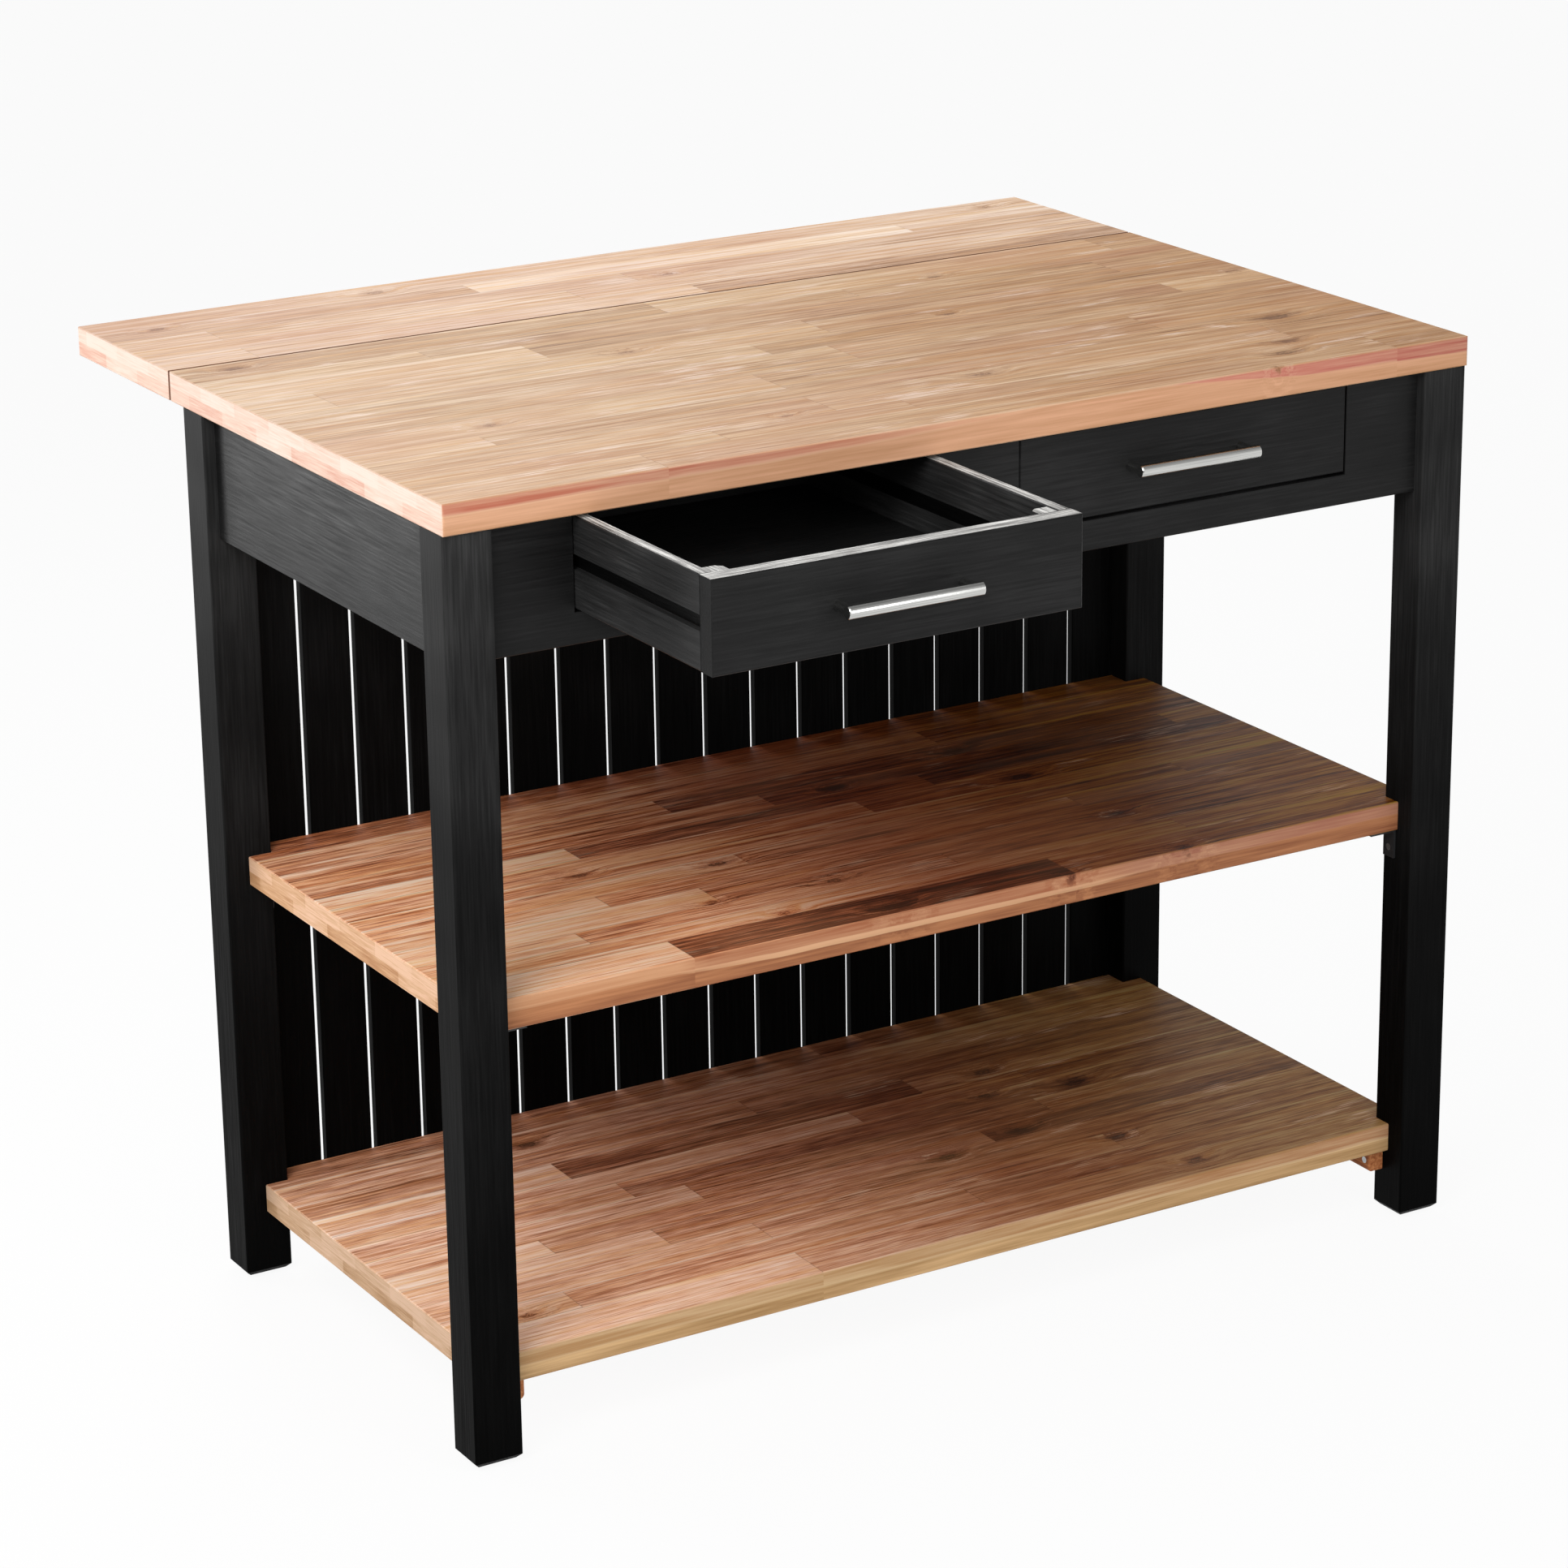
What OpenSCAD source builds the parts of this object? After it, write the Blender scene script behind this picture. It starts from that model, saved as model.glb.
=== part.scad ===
// Kitchen island unit: a hardwood worktop with a rear drop leaf on a painted frame, two drawers on
// side-hung wooden runners, two shelves notched round the legs and a back of upright slats.
// Millimetres. +X runs to the right, +Y to the back, +Z up, and the floor is at Z = 0. The pieces are
// drawn from the middle of the worktop's front edge and then set over the middle of the whole unit.

/* [Worktop] */
// Length of the worktop
top_l = 1090; // [960:5:1400]
// Depth of the fixed section, from its front edge to the seam
top_d = 563; // [550:1:640]
// Thickness of the fixed section and of the drop leaf
top_t = 28.5; // [22:0.5:40]
// Depth of the drop leaf, behind the seam
leaf_d = 217; // [214:1:300]
// Gap at the seam
seam_gap = 1.5; // [0.6:0.1:3]
// Radius of the worktop's upright corners
top_corner_r = 3; // [1:0.5:12]
// Easing along the worktop's and the shelves' edges
board_ease = 1; // [0.4:0.1:3]

/* [Frame] */
// Length of a leg, from its foot to the underside of the worktop
leg_l = 871.5; // [780:0.5:960]
// Width of a leg, across the front
leg_w = 48; // [44:1:64]
// Depth of a leg
leg_d = 43; // [38:1:60]
// Radius of a leg's upright edges
leg_edge_r = 2; // [0.5:0.5:6]
// Bevel round the foot of a leg
foot_bevel = 5; // [1:0.5:8]
// Overhang of the worktop in front of the legs
front_overhang = 3; // [1:0.5:12]
// Distance from the back legs' rear faces to the worktop's edge at the seam
back_overhang = 28; // [22:0.5:34]
// Overhang of the worktop past the legs at each end
end_overhang = 0.5; // [0:0.5:20]
// Height of the aprons
apron_h = 120; // [112:1:160]
// Thickness of the aprons
apron_t = 20; // [16:0.5:24]
// Distance that the aprons stand back from the legs' faces
apron_set = 12; // [6:0.5:14]
// Easing along the edges of the painted boards and the battens
paint_ease = 1; // [0.3:0.1:2]

/* [Glides] */
// Height of a foot glide
glide_h = 4; // [2.5:0.5:8]
// Diameter of a foot glide
glide_dia = 22; // [16:1:30]
// Diameter of the glide's nail
glide_nail_dia = 2.4; // [2:0.1:3]
// Length of the glide's nail
glide_nail_l = 14; // [10:1:20]

/* [Drawers] */
// Width of the front apron between a leg and a drawer opening
end_block_w = 83; // [74:1:110]
// Width of the front apron between the two drawer openings
stile_w = 89; // [70:1:140]
// Height of the front apron below the drawer openings
front_rail_h = 29; // [20:1:40]
// Gap at each side of a drawer
drawer_side_gap = 1.5; // [1:0.1:3]
// Gap under a drawer
drawer_foot_gap = 3; // [1.5:0.5:5]
// Gap over a drawer
drawer_head_gap = 4; // [2:0.5:8]
// Room behind a closed drawer, up to the rear apron
drawer_back_room = 35.5; // [15:0.5:120]
// Thickness of a drawer's front
drawer_front_t = 20; // [16:0.5:22]
// Thickness of a drawer's sides and back
drawer_side_t = 12; // [11:0.5:15]
// Thickness of a drawer's bottom panel
drawer_bottom_t = 5; // [3:0.5:6]
// Height of the bottom panel above the sides' lower edges
drawer_bottom_z = 8; // [6:0.5:12]
// Depth of the grooves that hold the bottom panel
panel_groove_d = 5; // [3:0.5:5]
// Height by which a drawer's back is lower than its sides
drawer_back_drop = 4; // [0:1:20]
// Side of the square glue blocks in the front corners
glue_block = 18; // [10:1:30]
// Bevel along the free corner of a glue block
glue_block_bevel = 5; // [1:1:9]
// Distance that the left drawer stands open
left_pull = 236; // [0:1:330]

/* [Runners] */
// Height of the runner groove in a drawer's side
groove_h = 14; // [10:0.5:18]
// Depth of the runner groove
groove_d = 6; // [4:0.5:7]
// Distance from a runner's rear end to the rear apron
runner_back_room = 44.8; // [5:0.1:150]
// Clearance between a runner and the top of its groove
run_clear = 0.3; // [0.2:0.05:0.6]
// Clearance under a runner and at its inner face
run_slack = 0.7; // [0.5:0.1:1.5]
// Thickness of the bearer boards that carry the runners
bearer_t = 18; // [12:1:22]
// Height of the bearer boards
bearer_h = 100; // [60:1:110]

/* [Handles] */
// Length of a handle's bar
handle_l = 134; // [110:1:180]
// Diameter of the bar
handle_dia = 12; // [8:0.5:16]
// Distance from the drawer's front to the middle of the bar
handle_reach = 22; // [18:0.5:40]
// Diameter of the handle's two posts, which stand flush with the bar's ends
post_dia = 10; // [7:0.5:14]
// Diameter of the handle's screws
handle_screw_dia = 4; // [3:0.5:5]

/* [Shelves] */
// Height of the middle shelf's upper face above the floor
middle_shelf_z = 439; // [300:1:560]
// Height of the bottom shelf's upper face above the floor
bottom_shelf_z = 98; // [70:1:200]
// Thickness of the shelves
shelf_t = 29; // [18:0.5:36]
// Clearance round each leg in a shelf's notch
notch_clear = 0.2; // [0:0.1:1]
// Width of the battens under the bottom shelf
batten_w = 18; // [15:0.5:30]
// Height of the battens
batten_h = 22.5; // [18:0.5:30]
// Radius of the batten's lower inner edge
batten_round = 5; // [1:0.5:7]
// Distance that a batten's end stands back from the shelf's edge
batten_set = 8.5; // [0:0.5:12]

/* [Back] */
// Number of slats
slat_count = 18; // [9:1:24]
// Gap between two slats
slat_gap = 6; // [3:0.5:10]
// Thickness of a slat
slat_t = 9; // [6:0.5:12]
// Distance that the slats stand in from the legs' back faces
slat_set = 6; // [2:0.5:12]
// Gap between an outer slat and its leg, and over the slats
slat_edge_gap = 0.5; // [0:0.1:3]
// Easing along the slats' inner edges
slat_ease = 1; // [0.3:0.1:2]

/* [Hinges] */
// Distance of the outer hinges' middles from the worktop's ends
hinge_inset = 145; // [80:5:220]
// Length of a hinge
hinge_l = 60; // [50:1:90]
// Width of one plate of a hinge, from the middle of its pin
hinge_w = 28; // [24:0.5:28]
// Thickness of a hinge plate
hinge_t = 2; // [1.5:0.1:2.5]
// Diameter of the hinge's barrel
barrel_dia = 6; // [5.5:0.1:7]
// Diameter of the hinge pin
hinge_pin_dia = 3; // [2.4:0.1:3.6]
// Number of knuckles, an odd number
knuckles = 5; // [3:2:7]
// Gap between two knuckles
knuckle_gap = 0.3; // [0.2:0.05:0.6]

/* [Leaf supports] */
// Slat that carries each support, counted from the middle of the back
support_slat = 5; // [4:1:6]
// Height of the leaf's pin above the strut's rivet
strut_drop = 75; // [70:1:85]
// Distance of the strut's rivet from the wall plate's outer face
rivet_reach = 11.5; // [10:0.5:12.5]
// Distance from the tip of the folded strut to the channel's far end
fold_room = 11; // [9:0.5:20]
// Width of a strut
strut_w = 12; // [10:0.5:13]
// Thickness of a strut
strut_t = 6; // [4:0.5:8]
// Diameter of the rivet that the strut turns on
rivet_dia = 6; // [5:0.5:6]
// Clearance at each side of the strut
strut_side_gap = 0.5; // [0.3:0.1:1]
// Width of the wall plate and of the channel's base
plate_w = 30; // [26:1:40]
// Thickness of the wall plate and its ears
plate_t = 2.5; // [2:0.1:3]
// Gap between the wall plate and the worktop
plate_head_gap = 8; // [2:0.5:20]
// Thickness of the channel's base and flanges
channel_t = 2; // [1.5:0.1:2.5]
// Depth of the channel's flanges below its base
flange_d = 12; // [8:0.5:12]
// Distance from the channel's near end to the middle of the strut's tip
channel_lead = 11; // [8:0.5:20]
// Distance from the channel's far end to the leaf's back edge
channel_edge_gap = 7.75; // [3:0.25:30]

/* [Fixings] */
// Diameter of the wood screws
screw_dia = 3.5; // [3:0.1:4]
// Diameter of a wood screw's countersunk head
screw_head_dia = 6.8; // [6:0.1:7.4]
// Length of the screws in the brackets, braces and hinges
screw_l = 16; // [12:1:18]
// Length of the screws in the battens
batten_screw_l = 40; // [34:1:50]
// Radial clearance of screws, pins and rivets in their holes
fit = 0.05; // [0.03:0.01:0.1]
// Length of a flange of an angle bracket
angle_l = 30; // [24:1:34]
// Width of an angle bracket
angle_w = 16; // [12:1:18]
// Thickness of the angle brackets and corner braces
steel_t = 2.5; // [2:0.1:3]
// Distance from a leg's inner corner to a brace, measured along each side
brace_reach = 30; // [26:1:32]
// Gap between a front brace and the bearer beside it
brace_gap = 4; // [2:0.5:8]
// Height of a brace
brace_h = 60; // [40:1:80]
// Diameter of the stud that draws the leg to its brace
stud_dia = 6; // [5:0.5:8]
// Length of the stud inside the leg
stud_in = 25; // [18:1:30]
// Width across the stud's nut
nut_af = 10; // [8:0.5:13]
// Thickness of the nut
nut_t = 5; // [4:0.5:8]

/* [Hidden] */
$fn = 48;
eps = 0.01;

// Frame
under_z = glide_h + leg_l;
frame_w = top_l - 2 * end_overhang;
frame_d = top_d - front_overhang - back_overhang;
leg_x = frame_w / 2 - leg_w / 2;
leg_front_y = front_overhang + leg_d / 2;
leg_back_y = front_overhang + frame_d - leg_d / 2;
inner_w = frame_w - 2 * leg_w;
apron_face_y = front_overhang + apron_set;
apron_in_y = apron_face_y + apron_t;
apron_z = under_z - apron_h;
side_in_x = frame_w / 2 - apron_set - apron_t;

// Back
slat_back_y = front_overhang + frame_d - slat_set;
slat_face_y = slat_back_y - slat_t;
rear_in_y = slat_face_y - apron_t;
slat_w = (inner_w - 2 * slat_edge_gap - (slat_count - 1) * slat_gap) / slat_count;
slat_pitch = slat_w + slat_gap;
slat_foot_z = bottom_shelf_z - shelf_t;

// Drawers
opening_w = (inner_w - 2 * end_block_w - stile_w) / 2;
drawer_x = stile_w / 2 + opening_w / 2;
drawer_w = opening_w - 2 * drawer_side_gap;
opening_z = apron_z + front_rail_h;
drawer_z = opening_z + drawer_foot_gap;
drawer_h = under_z - drawer_head_gap - drawer_z;
drawer_mid_z = drawer_z + drawer_h / 2;
side_y = apron_face_y + drawer_front_t;
side_l = rear_in_y - drawer_back_room - side_y;
panel_z = drawer_z + drawer_bottom_z;
panel_slack = 0.2;
runner_y = side_y + run_slack;
runner_l = rear_in_y - runner_back_room - runner_y;
runner_h = groove_h - run_clear - run_slack;
runner_out = drawer_side_gap + groove_d - run_slack;
handle_y = apron_face_y - handle_reach;
post_pitch = handle_l - post_dia;
handle_screw_grip = 10;
handle_head_dia = 2 * handle_screw_dia;
handle_head_t = 2.4;
DRAWERS = [["left", -1, left_pull], ["right", 1, 0]];

// Shelves
shelf_x = leg_x;
shelf_front_y = leg_front_y;
batten_y = shelf_front_y + batten_set;
batten_l = slat_face_y - batten_set - batten_y;

// Leaf hinge and supports
pin_y = top_d + seam_gap / 2;
pin_z = under_z - barrel_dia / 2;
hinge_x = top_l / 2 - hinge_inset;
hinge_xs = [-hinge_x, 0, hinge_x];
knuckle_l = hinge_l / knuckles;
plate_reach = hinge_w - barrel_dia / 2 - knuckle_gap;
wall_y = slat_back_y + plate_t;
rivet_y = wall_y + rivet_reach;
rivet_z = pin_z - strut_drop;
plate_rise = under_z - plate_head_gap - rivet_z;
support_x = (support_slat - (slat_count % 2 == 0 ? 0.5 : 0)) * slat_pitch;
tip_gap = 0.3;

// The strut's tip runs this far below the pin with the leaf up, and this far in front of it with the
// leaf down. The strut is as long as it takes to reach the channel's far end with the leaf down.
tip_depth = channel_t + strut_w / 2 + tip_gap - barrel_dia / 2;
channel_to = seam_gap / 2 + leaf_d - channel_edge_gap;
strut_l = norm([channel_to - fold_room - strut_drop, pin_y - tip_depth - rivet_y]);
strut_angle = asin((strut_drop - tip_depth) / strut_l);
tip_y = rivet_y + strut_l * cos(strut_angle);
channel_from = tip_y - pin_y - channel_lead;
channel_l = channel_to - channel_from;
ear_r = rivet_dia / 2 + 4;
ear_gap = strut_t + 2 * strut_side_gap;
channel_gap = ear_gap + 2 * strut_side_gap;
detent_h = 2;
detent_l = 4;
rivet_head_r = rivet_dia / 2 + 2;
rivet_head_t = 1.5;
plate_foot = 12;

// Corner braces
brace_du = leg_w - apron_set - apron_t;
brace_front_dv = leg_d - apron_set - apron_t;
brace_rear_dv = leg_d - (slat_set + slat_t + apron_t);
brace_z = apron_z + apron_h / 2 - brace_h / 2;
brace_flange = end_block_w - bearer_t - brace_gap - brace_reach - brace_front_dv;
stud_out = brace_reach / sqrt(2) + steel_t + nut_t + 3;

// The middle of the whole unit, with the left drawer open and the leaf up
front_reach_y = min(0, handle_y - handle_dia / 2 - left_pull);
home_y = -(front_reach_y + top_d + seam_gap + leaf_d) / 2;

SIDES = ["left", "right"];
BEARERS = [["left_outer", -1, 1], ["left_inner", -1, -1], ["right_inner", 1, -1], ["right_outer", 1, 1]];
DRAWER_PARTS = ["front", "side_left", "side_right", "back", "bottom", "glue_blocks", "handle",
                "handle_screws"];

// ---------------------------------------------------------------- shared shapes

// A block from its low corner.
module block(x, y, z, w, d, h) {
    translate([x, y, z]) cube([w, d, h]);
}

// A rectangle about the origin with round corners.
module round_rect(w, d, r) {
    square([w - 2 * r, d], center = true);
    square([w, d - 2 * r], center = true);
    for (sx = [-1, 1], sy = [-1, 1]) {
        translate([sx * (w / 2 - r), sy * (d / 2 - r)]) circle(r);
    }
}

// The outline of a slab seen from its end: w wide, t thick, all four edges eased by c.
module eased_outline(w, t, c) {
    polygon([
        [-w / 2 + c, 0], [w / 2 - c, 0], [w / 2, c], [w / 2, t - c],
        [w / 2 - c, t], [-w / 2 + c, t], [-w / 2, t - c], [-w / 2, c]
    ]);
}

// A laminated board about the origin in X and Y, standing on Z = 0, with eased edges.
module eased_board(w, d, t, r, c) {
    intersection() {
        linear_extrude(t) round_rect(w, d, r);
        rotate([90, 0, 90]) translate([0, 0, -w / 2]) linear_extrude(w) eased_outline(d, t, c);
        rotate([90, 0, 0]) translate([0, 0, -d / 2]) linear_extrude(d) eased_outline(w, t, c);
    }
}

// A board that runs along X, Y or Z, from its low corner, with its four long edges eased.
module board(x, y, z, w, d, h, along) {
    translate([x + w / 2, y + d / 2, z]) {
        if (along == "x") {
            rotate([90, 0, 90]) translate([0, 0, -w / 2]) linear_extrude(w) eased_outline(d, h, paint_ease);
        } else if (along == "y") {
            rotate([90, 0, 0]) translate([0, 0, -d / 2]) linear_extrude(d) eased_outline(w, h, paint_ease);
        } else {
            translate([0, -d / 2, 0]) linear_extrude(h) eased_outline(w, d, paint_ease);
        }
    }
}

// A countersunk wood screw: its head is flush with Z = 0 and it points down.
module screw(l) {
    cone_h = (screw_head_dia - screw_dia) / 2;
    translate([0, 0, -cone_h]) cylinder(h = cone_h, d1 = screw_dia, d2 = screw_head_dia);
    translate([0, 0, -l]) cylinder(h = l - cone_h / 2, d = screw_dia);
}

// The hole for that screw, with its countersink.
module screw_hole(l) {
    cone_h = (screw_head_dia - screw_dia) / 2;
    translate([0, 0, -cone_h]) {
        cylinder(h = cone_h + eps, d1 = screw_dia + 2 * fit, d2 = screw_head_dia + 2 * fit + 2 * eps);
    }
    translate([0, 0, -l - 1]) cylinder(h = l + 1 - cone_h / 2, d = screw_dia + 2 * fit);
}

// A copy on each side of the middle.
module both_sides() {
    children();
    mirror([1, 0, 0]) children();
}

// ---------------------------------------------------------------- where the screws go

module at_hinge_screws(side) {
    spread = hinge_l / 3;
    far_row = 0.75;
    near_row = 0.45;
    for (x = hinge_xs, i = [-1, 0, 1]) {
        reach = hinge_w * (i == 0 ? far_row : near_row);
        translate([x + i * spread, pin_y + side * reach, under_z - hinge_t]) rotate([180, 0, 0]) children();
    }
}

module at_channel_screws() {
    inset = channel_l / 8;
    for (sx = [-1, 1], side = [-1, 1], y = [channel_from + inset, channel_to - inset]) {
        across = (plate_w / 2 + channel_gap / 2 + channel_t) / 2;
        translate([sx * support_x + side * across, pin_y + y, under_z - channel_t]) {
            rotate([180, 0, 0]) children();
        }
    }
}

module at_wall_plate_screws() {
    inset = plate_w / 3;
    for (sx = [-1, 1], z = [rivet_z + ear_r + inset, rivet_z + plate_rise - inset]) {
        translate([sx * support_x, wall_y, z]) rotate([-90, 0, 0]) children();
    }
}

// Angle brackets: the corner of each, with its flanges down and towards the middle.
module at_angle_brackets() {
    front_y = (shelf_front_y + leg_front_y + leg_d / 2) / 2;
    back_y = (leg_back_y - leg_d / 2 + slat_face_y) / 2;
    both_sides() {
        for (y = [front_y, back_y]) {
            translate([-inner_w / 2, y, middle_shelf_z - shelf_t]) children();
        }
        for (quarter = [1, 3]) {
            y = apron_in_y + quarter / 4 * (rear_in_y - apron_in_y);
            translate([-side_in_x, y, under_z]) children();
        }
    }
}

module at_angle_screws() {
    at_angle_brackets() {
        along = angle_l * 2 / 3;
        translate([steel_t, 0, -along]) rotate([0, 90, 0]) children();
        translate([along, 0, -steel_t]) rotate([180, 0, 0]) children();
    }
}

module at_batten_screws() {
    both_sides() {
        for (y = [(batten_y + leg_front_y + leg_d / 2) / 2, (leg_back_y - leg_d / 2 + slat_face_y) / 2]) {
            translate([-inner_w / 2 + batten_w, y, bottom_shelf_z - shelf_t - batten_h / 2]) {
                rotate([0, 90, 0]) children();
            }
        }
    }
}

// Corner braces: the inner corner of each leg, with X along the front or rear apron and Y along the
// side apron.
module at_brace(front) {
    both_sides() {
        if (front) {
            translate([-inner_w / 2, leg_front_y + leg_d / 2, brace_z]) children();
        } else {
            translate([-inner_w / 2, leg_back_y - leg_d / 2, brace_z]) mirror([0, 1, 0]) children();
        }
    }
}

module at_brace_screws() {
    for (front = [true, false]) {
        dv = front ? brace_front_dv : brace_rear_dv;
        along = brace_reach + brace_flange / 2 + steel_t / 2;
        at_brace(front) {
            translate([along + dv, steel_t - dv, brace_h / 2]) {
                rotate([-90, 0, 0]) children();
            }
            translate([steel_t - brace_du, along + brace_du, brace_h / 2]) {
                rotate([0, 90, 0]) children();
            }
        }
    }
}

// ---------------------------------------------------------------- worktop and leaf

module worktop() color("burlywood") {
    difference() {
        translate([0, top_d / 2, under_z]) eased_board(top_l, top_d, top_t, top_corner_r, board_ease);
        at_hinge_screws(-1) screw_hole(screw_l);
        at_angle_screws() screw_hole(screw_l);
    }
}

module drop_leaf() color("burlywood") {
    difference() {
        translate([0, top_d + seam_gap + leaf_d / 2, under_z]) {
            eased_board(top_l, leaf_d, top_t, top_corner_r, board_ease);
        }
        at_hinge_screws(1) screw_hole(screw_l);
        at_channel_screws() screw_hole(screw_l);
    }
}

// ---------------------------------------------------------------- legs, glides and aprons

// The leg's two side views, with the bevel round its foot.
module leg_outline(w) {
    polygon([
        [-w / 2 + foot_bevel, 0], [w / 2 - foot_bevel, 0], [w / 2, foot_bevel],
        [w / 2, leg_l], [-w / 2, leg_l], [-w / 2, foot_bevel]
    ]);
}

module leg(x, y) color([0.07, 0.07, 0.07]) {
    difference() {
        translate([x, y, glide_h]) intersection() {
            linear_extrude(leg_l) round_rect(leg_w, leg_d, leg_edge_r);
            rotate([90, 0, 90]) translate([0, 0, -leg_w]) linear_extrude(2 * leg_w) leg_outline(leg_d);
            rotate([90, 0, 0]) translate([0, 0, -leg_d]) linear_extrude(2 * leg_d) leg_outline(leg_w);
        }
        at_glides() glide_nail_hole();
        at_angle_screws() screw_hole(screw_l);
        at_batten_screws() screw_hole(batten_screw_l);
        at_studs() stud_hole();
    }
}

module at_glides() {
    for (sx = [-1, 1], y = [leg_front_y, leg_back_y]) {
        translate([sx * leg_x, y, 0]) children();
    }
}

module glide_nail_hole() {
    translate([0, 0, glide_h - eps]) cylinder(h = glide_nail_l + 1, d = glide_nail_dia + 2 * fit);
}

// A nail-on glide: a domed nylon foot round a steel nail.
module foot_glides() color("dimgray") {
    r = glide_dia / 2;
    at_glides() {
        rotate_extrude() {
            polygon([
                [0, 0], [r * 0.7, 0], [r * 0.9, glide_h * 0.2], [r, glide_h * 0.55], [r, glide_h],
                [glide_nail_dia / 2, glide_h], [glide_nail_dia / 2, glide_h + glide_nail_l - 2],
                [0, glide_h + glide_nail_l]
            ]);
        }
    }
}

// The front apron: one board between the legs, cut down from its upper edge for the two drawers.
module front_apron() color([0.09, 0.09, 0.09]) {
    difference() {
        board(-inner_w / 2, apron_face_y, apron_z, inner_w, apron_t, apron_h, "x");
        for (d = DRAWERS) {
            block(d[1] * drawer_x - opening_w / 2, apron_face_y - 1, opening_z,
                  opening_w, apron_t + 2, apron_h);
        }
        at_brace_screws() screw_hole(screw_l);
    }
}

module side_apron(side) color([0.09, 0.09, 0.09]) {
    y0 = leg_front_y + leg_d / 2;
    x0 = side > 0 ? side_in_x : -side_in_x - apron_t;
    difference() {
        board(x0, y0, apron_z, apron_t, leg_back_y - leg_d / 2 - y0, apron_h, "y");
        at_brace_screws() screw_hole(screw_l);
        at_angle_screws() screw_hole(screw_l);
    }
}

module rear_apron() color([0.09, 0.09, 0.09]) {
    difference() {
        board(-inner_w / 2, rear_in_y, apron_z, inner_w, apron_t, apron_h, "x");
        at_brace_screws() screw_hole(screw_l);
        at_wall_plate_screws() screw_hole(screw_l + slat_t);
    }
}

// ---------------------------------------------------------------- corner braces and their bolts

// Seen from above: a flange on each apron and the bent plate across the corner.
module brace_outline(dv) {
    u = brace_reach + dv;
    v = brace_reach + brace_du;
    bend = steel_t * (sqrt(2) - 1);
    polygon([
        [u + brace_flange, -dv], [u, -dv], [-brace_du, v], [-brace_du, v + brace_flange],
        [steel_t - brace_du, v + brace_flange], [steel_t - brace_du, v + bend],
        [u + bend, steel_t - dv], [u + brace_flange, steel_t - dv]
    ]);
}

module at_studs() {
    for (front = [true, false]) {
        at_brace(front) translate([0, 0, brace_h / 2]) rotate([-90, 0, -45]) children();
    }
}

module stud_hole() {
    translate([0, 0, -stud_in - 1]) cylinder(h = stud_in + stud_out, d = stud_dia + 2 * fit);
}

module corner_braces() color("silver") {
    for (front = [true, false]) {
        difference() {
            at_brace(front) linear_extrude(brace_h) brace_outline(front ? brace_front_dv : brace_rear_dv);
            at_studs() stud_hole();
            at_brace_screws() screw_hole(screw_l);
        }
    }
}

// The studs and their nuts. Each nut turns down on its brace.
module brace_bolts() color("silver") {
    nut_z = brace_reach / sqrt(2) + steel_t;
    at_studs() {
        translate([0, 0, -stud_in]) cylinder(h = stud_in + stud_out, d = stud_dia);
        translate([0, 0, nut_z]) difference() {
            cylinder(h = nut_t, d = nut_af / cos(30), $fn = 6);
            translate([0, 0, -1]) cylinder(h = nut_t + 2, d = stud_dia + 2 * fit);
        }
    }
}

// ---------------------------------------------------------------- shelves, battens and brackets

// A shelf: its ends lie on the legs' centre lines, and it is notched round all four legs.
module shelf(top_z) color("sienna") {
    depth = slat_face_y - shelf_front_y;
    notch_w = leg_w + 2 * notch_clear;
    difference() {
        translate([0, shelf_front_y + depth / 2, top_z - shelf_t]) {
            eased_board(2 * shelf_x, depth, shelf_t, top_corner_r, board_ease);
        }
        for (sx = [-1, 1], y = [leg_front_y, leg_back_y]) {
            block(sx * leg_x - notch_w / 2, y - leg_d / 2 - notch_clear, top_z - shelf_t - 1,
                  notch_w, leg_d + 2 * notch_clear, shelf_t + 2);
        }
        at_angle_screws() screw_hole(screw_l);
    }
}

// The right batten's end: its lower inner edge is rounded over.
module batten_outline() {
    w = batten_w / 2;
    r = batten_round;
    translate([r - w, r]) circle(r);
    polygon([[r - w, 0], [w, 0], [w, batten_h], [-w, batten_h], [-w, r], [r - w, r]]);
}

module batten(side) color("peru") {
    difference() {
        translate([
            side * (inner_w - batten_w) / 2, batten_y + batten_l / 2, bottom_shelf_z - shelf_t - batten_h
        ]) {
            rotate([90, 0, side > 0 ? 0 : 180]) translate([0, 0, -batten_l / 2]) {
                linear_extrude(batten_l) batten_outline();
            }
        }
        at_batten_screws() screw_hole(batten_screw_l);
    }
}

module angle_brackets() color([0.12, 0.12, 0.12]) {
    difference() {
        at_angle_brackets() {
            translate([0, angle_w / 2, 0]) rotate([90, 0, 0]) linear_extrude(angle_w) polygon([
                [0, 0], [angle_l, 0], [angle_l, -steel_t], [steel_t, -steel_t], [steel_t, -angle_l],
                [0, -angle_l]
            ]);
        }
        at_angle_screws() screw_hole(screw_l);
    }
}

// ---------------------------------------------------------------- back

// One slat seen from above, with its two inner edges eased.
module slat_outline() {
    polygon([
        [slat_ease, 0], [slat_w - slat_ease, 0], [slat_w, slat_ease], [slat_w, slat_t], [0, slat_t],
        [0, slat_ease]
    ]);
}

module back_slats() color([0.08, 0.08, 0.08]) {
    x0 = -inner_w / 2 + slat_edge_gap;
    difference() {
        for (i = [0:slat_count - 1]) {
            translate([x0 + i * slat_pitch, slat_face_y, slat_foot_z]) {
                linear_extrude(under_z - slat_edge_gap - slat_foot_z) slat_outline();
            }
        }
        at_wall_plate_screws() screw_hole(screw_l + slat_t);
    }
}

// ---------------------------------------------------------------- bearers and runners

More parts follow.
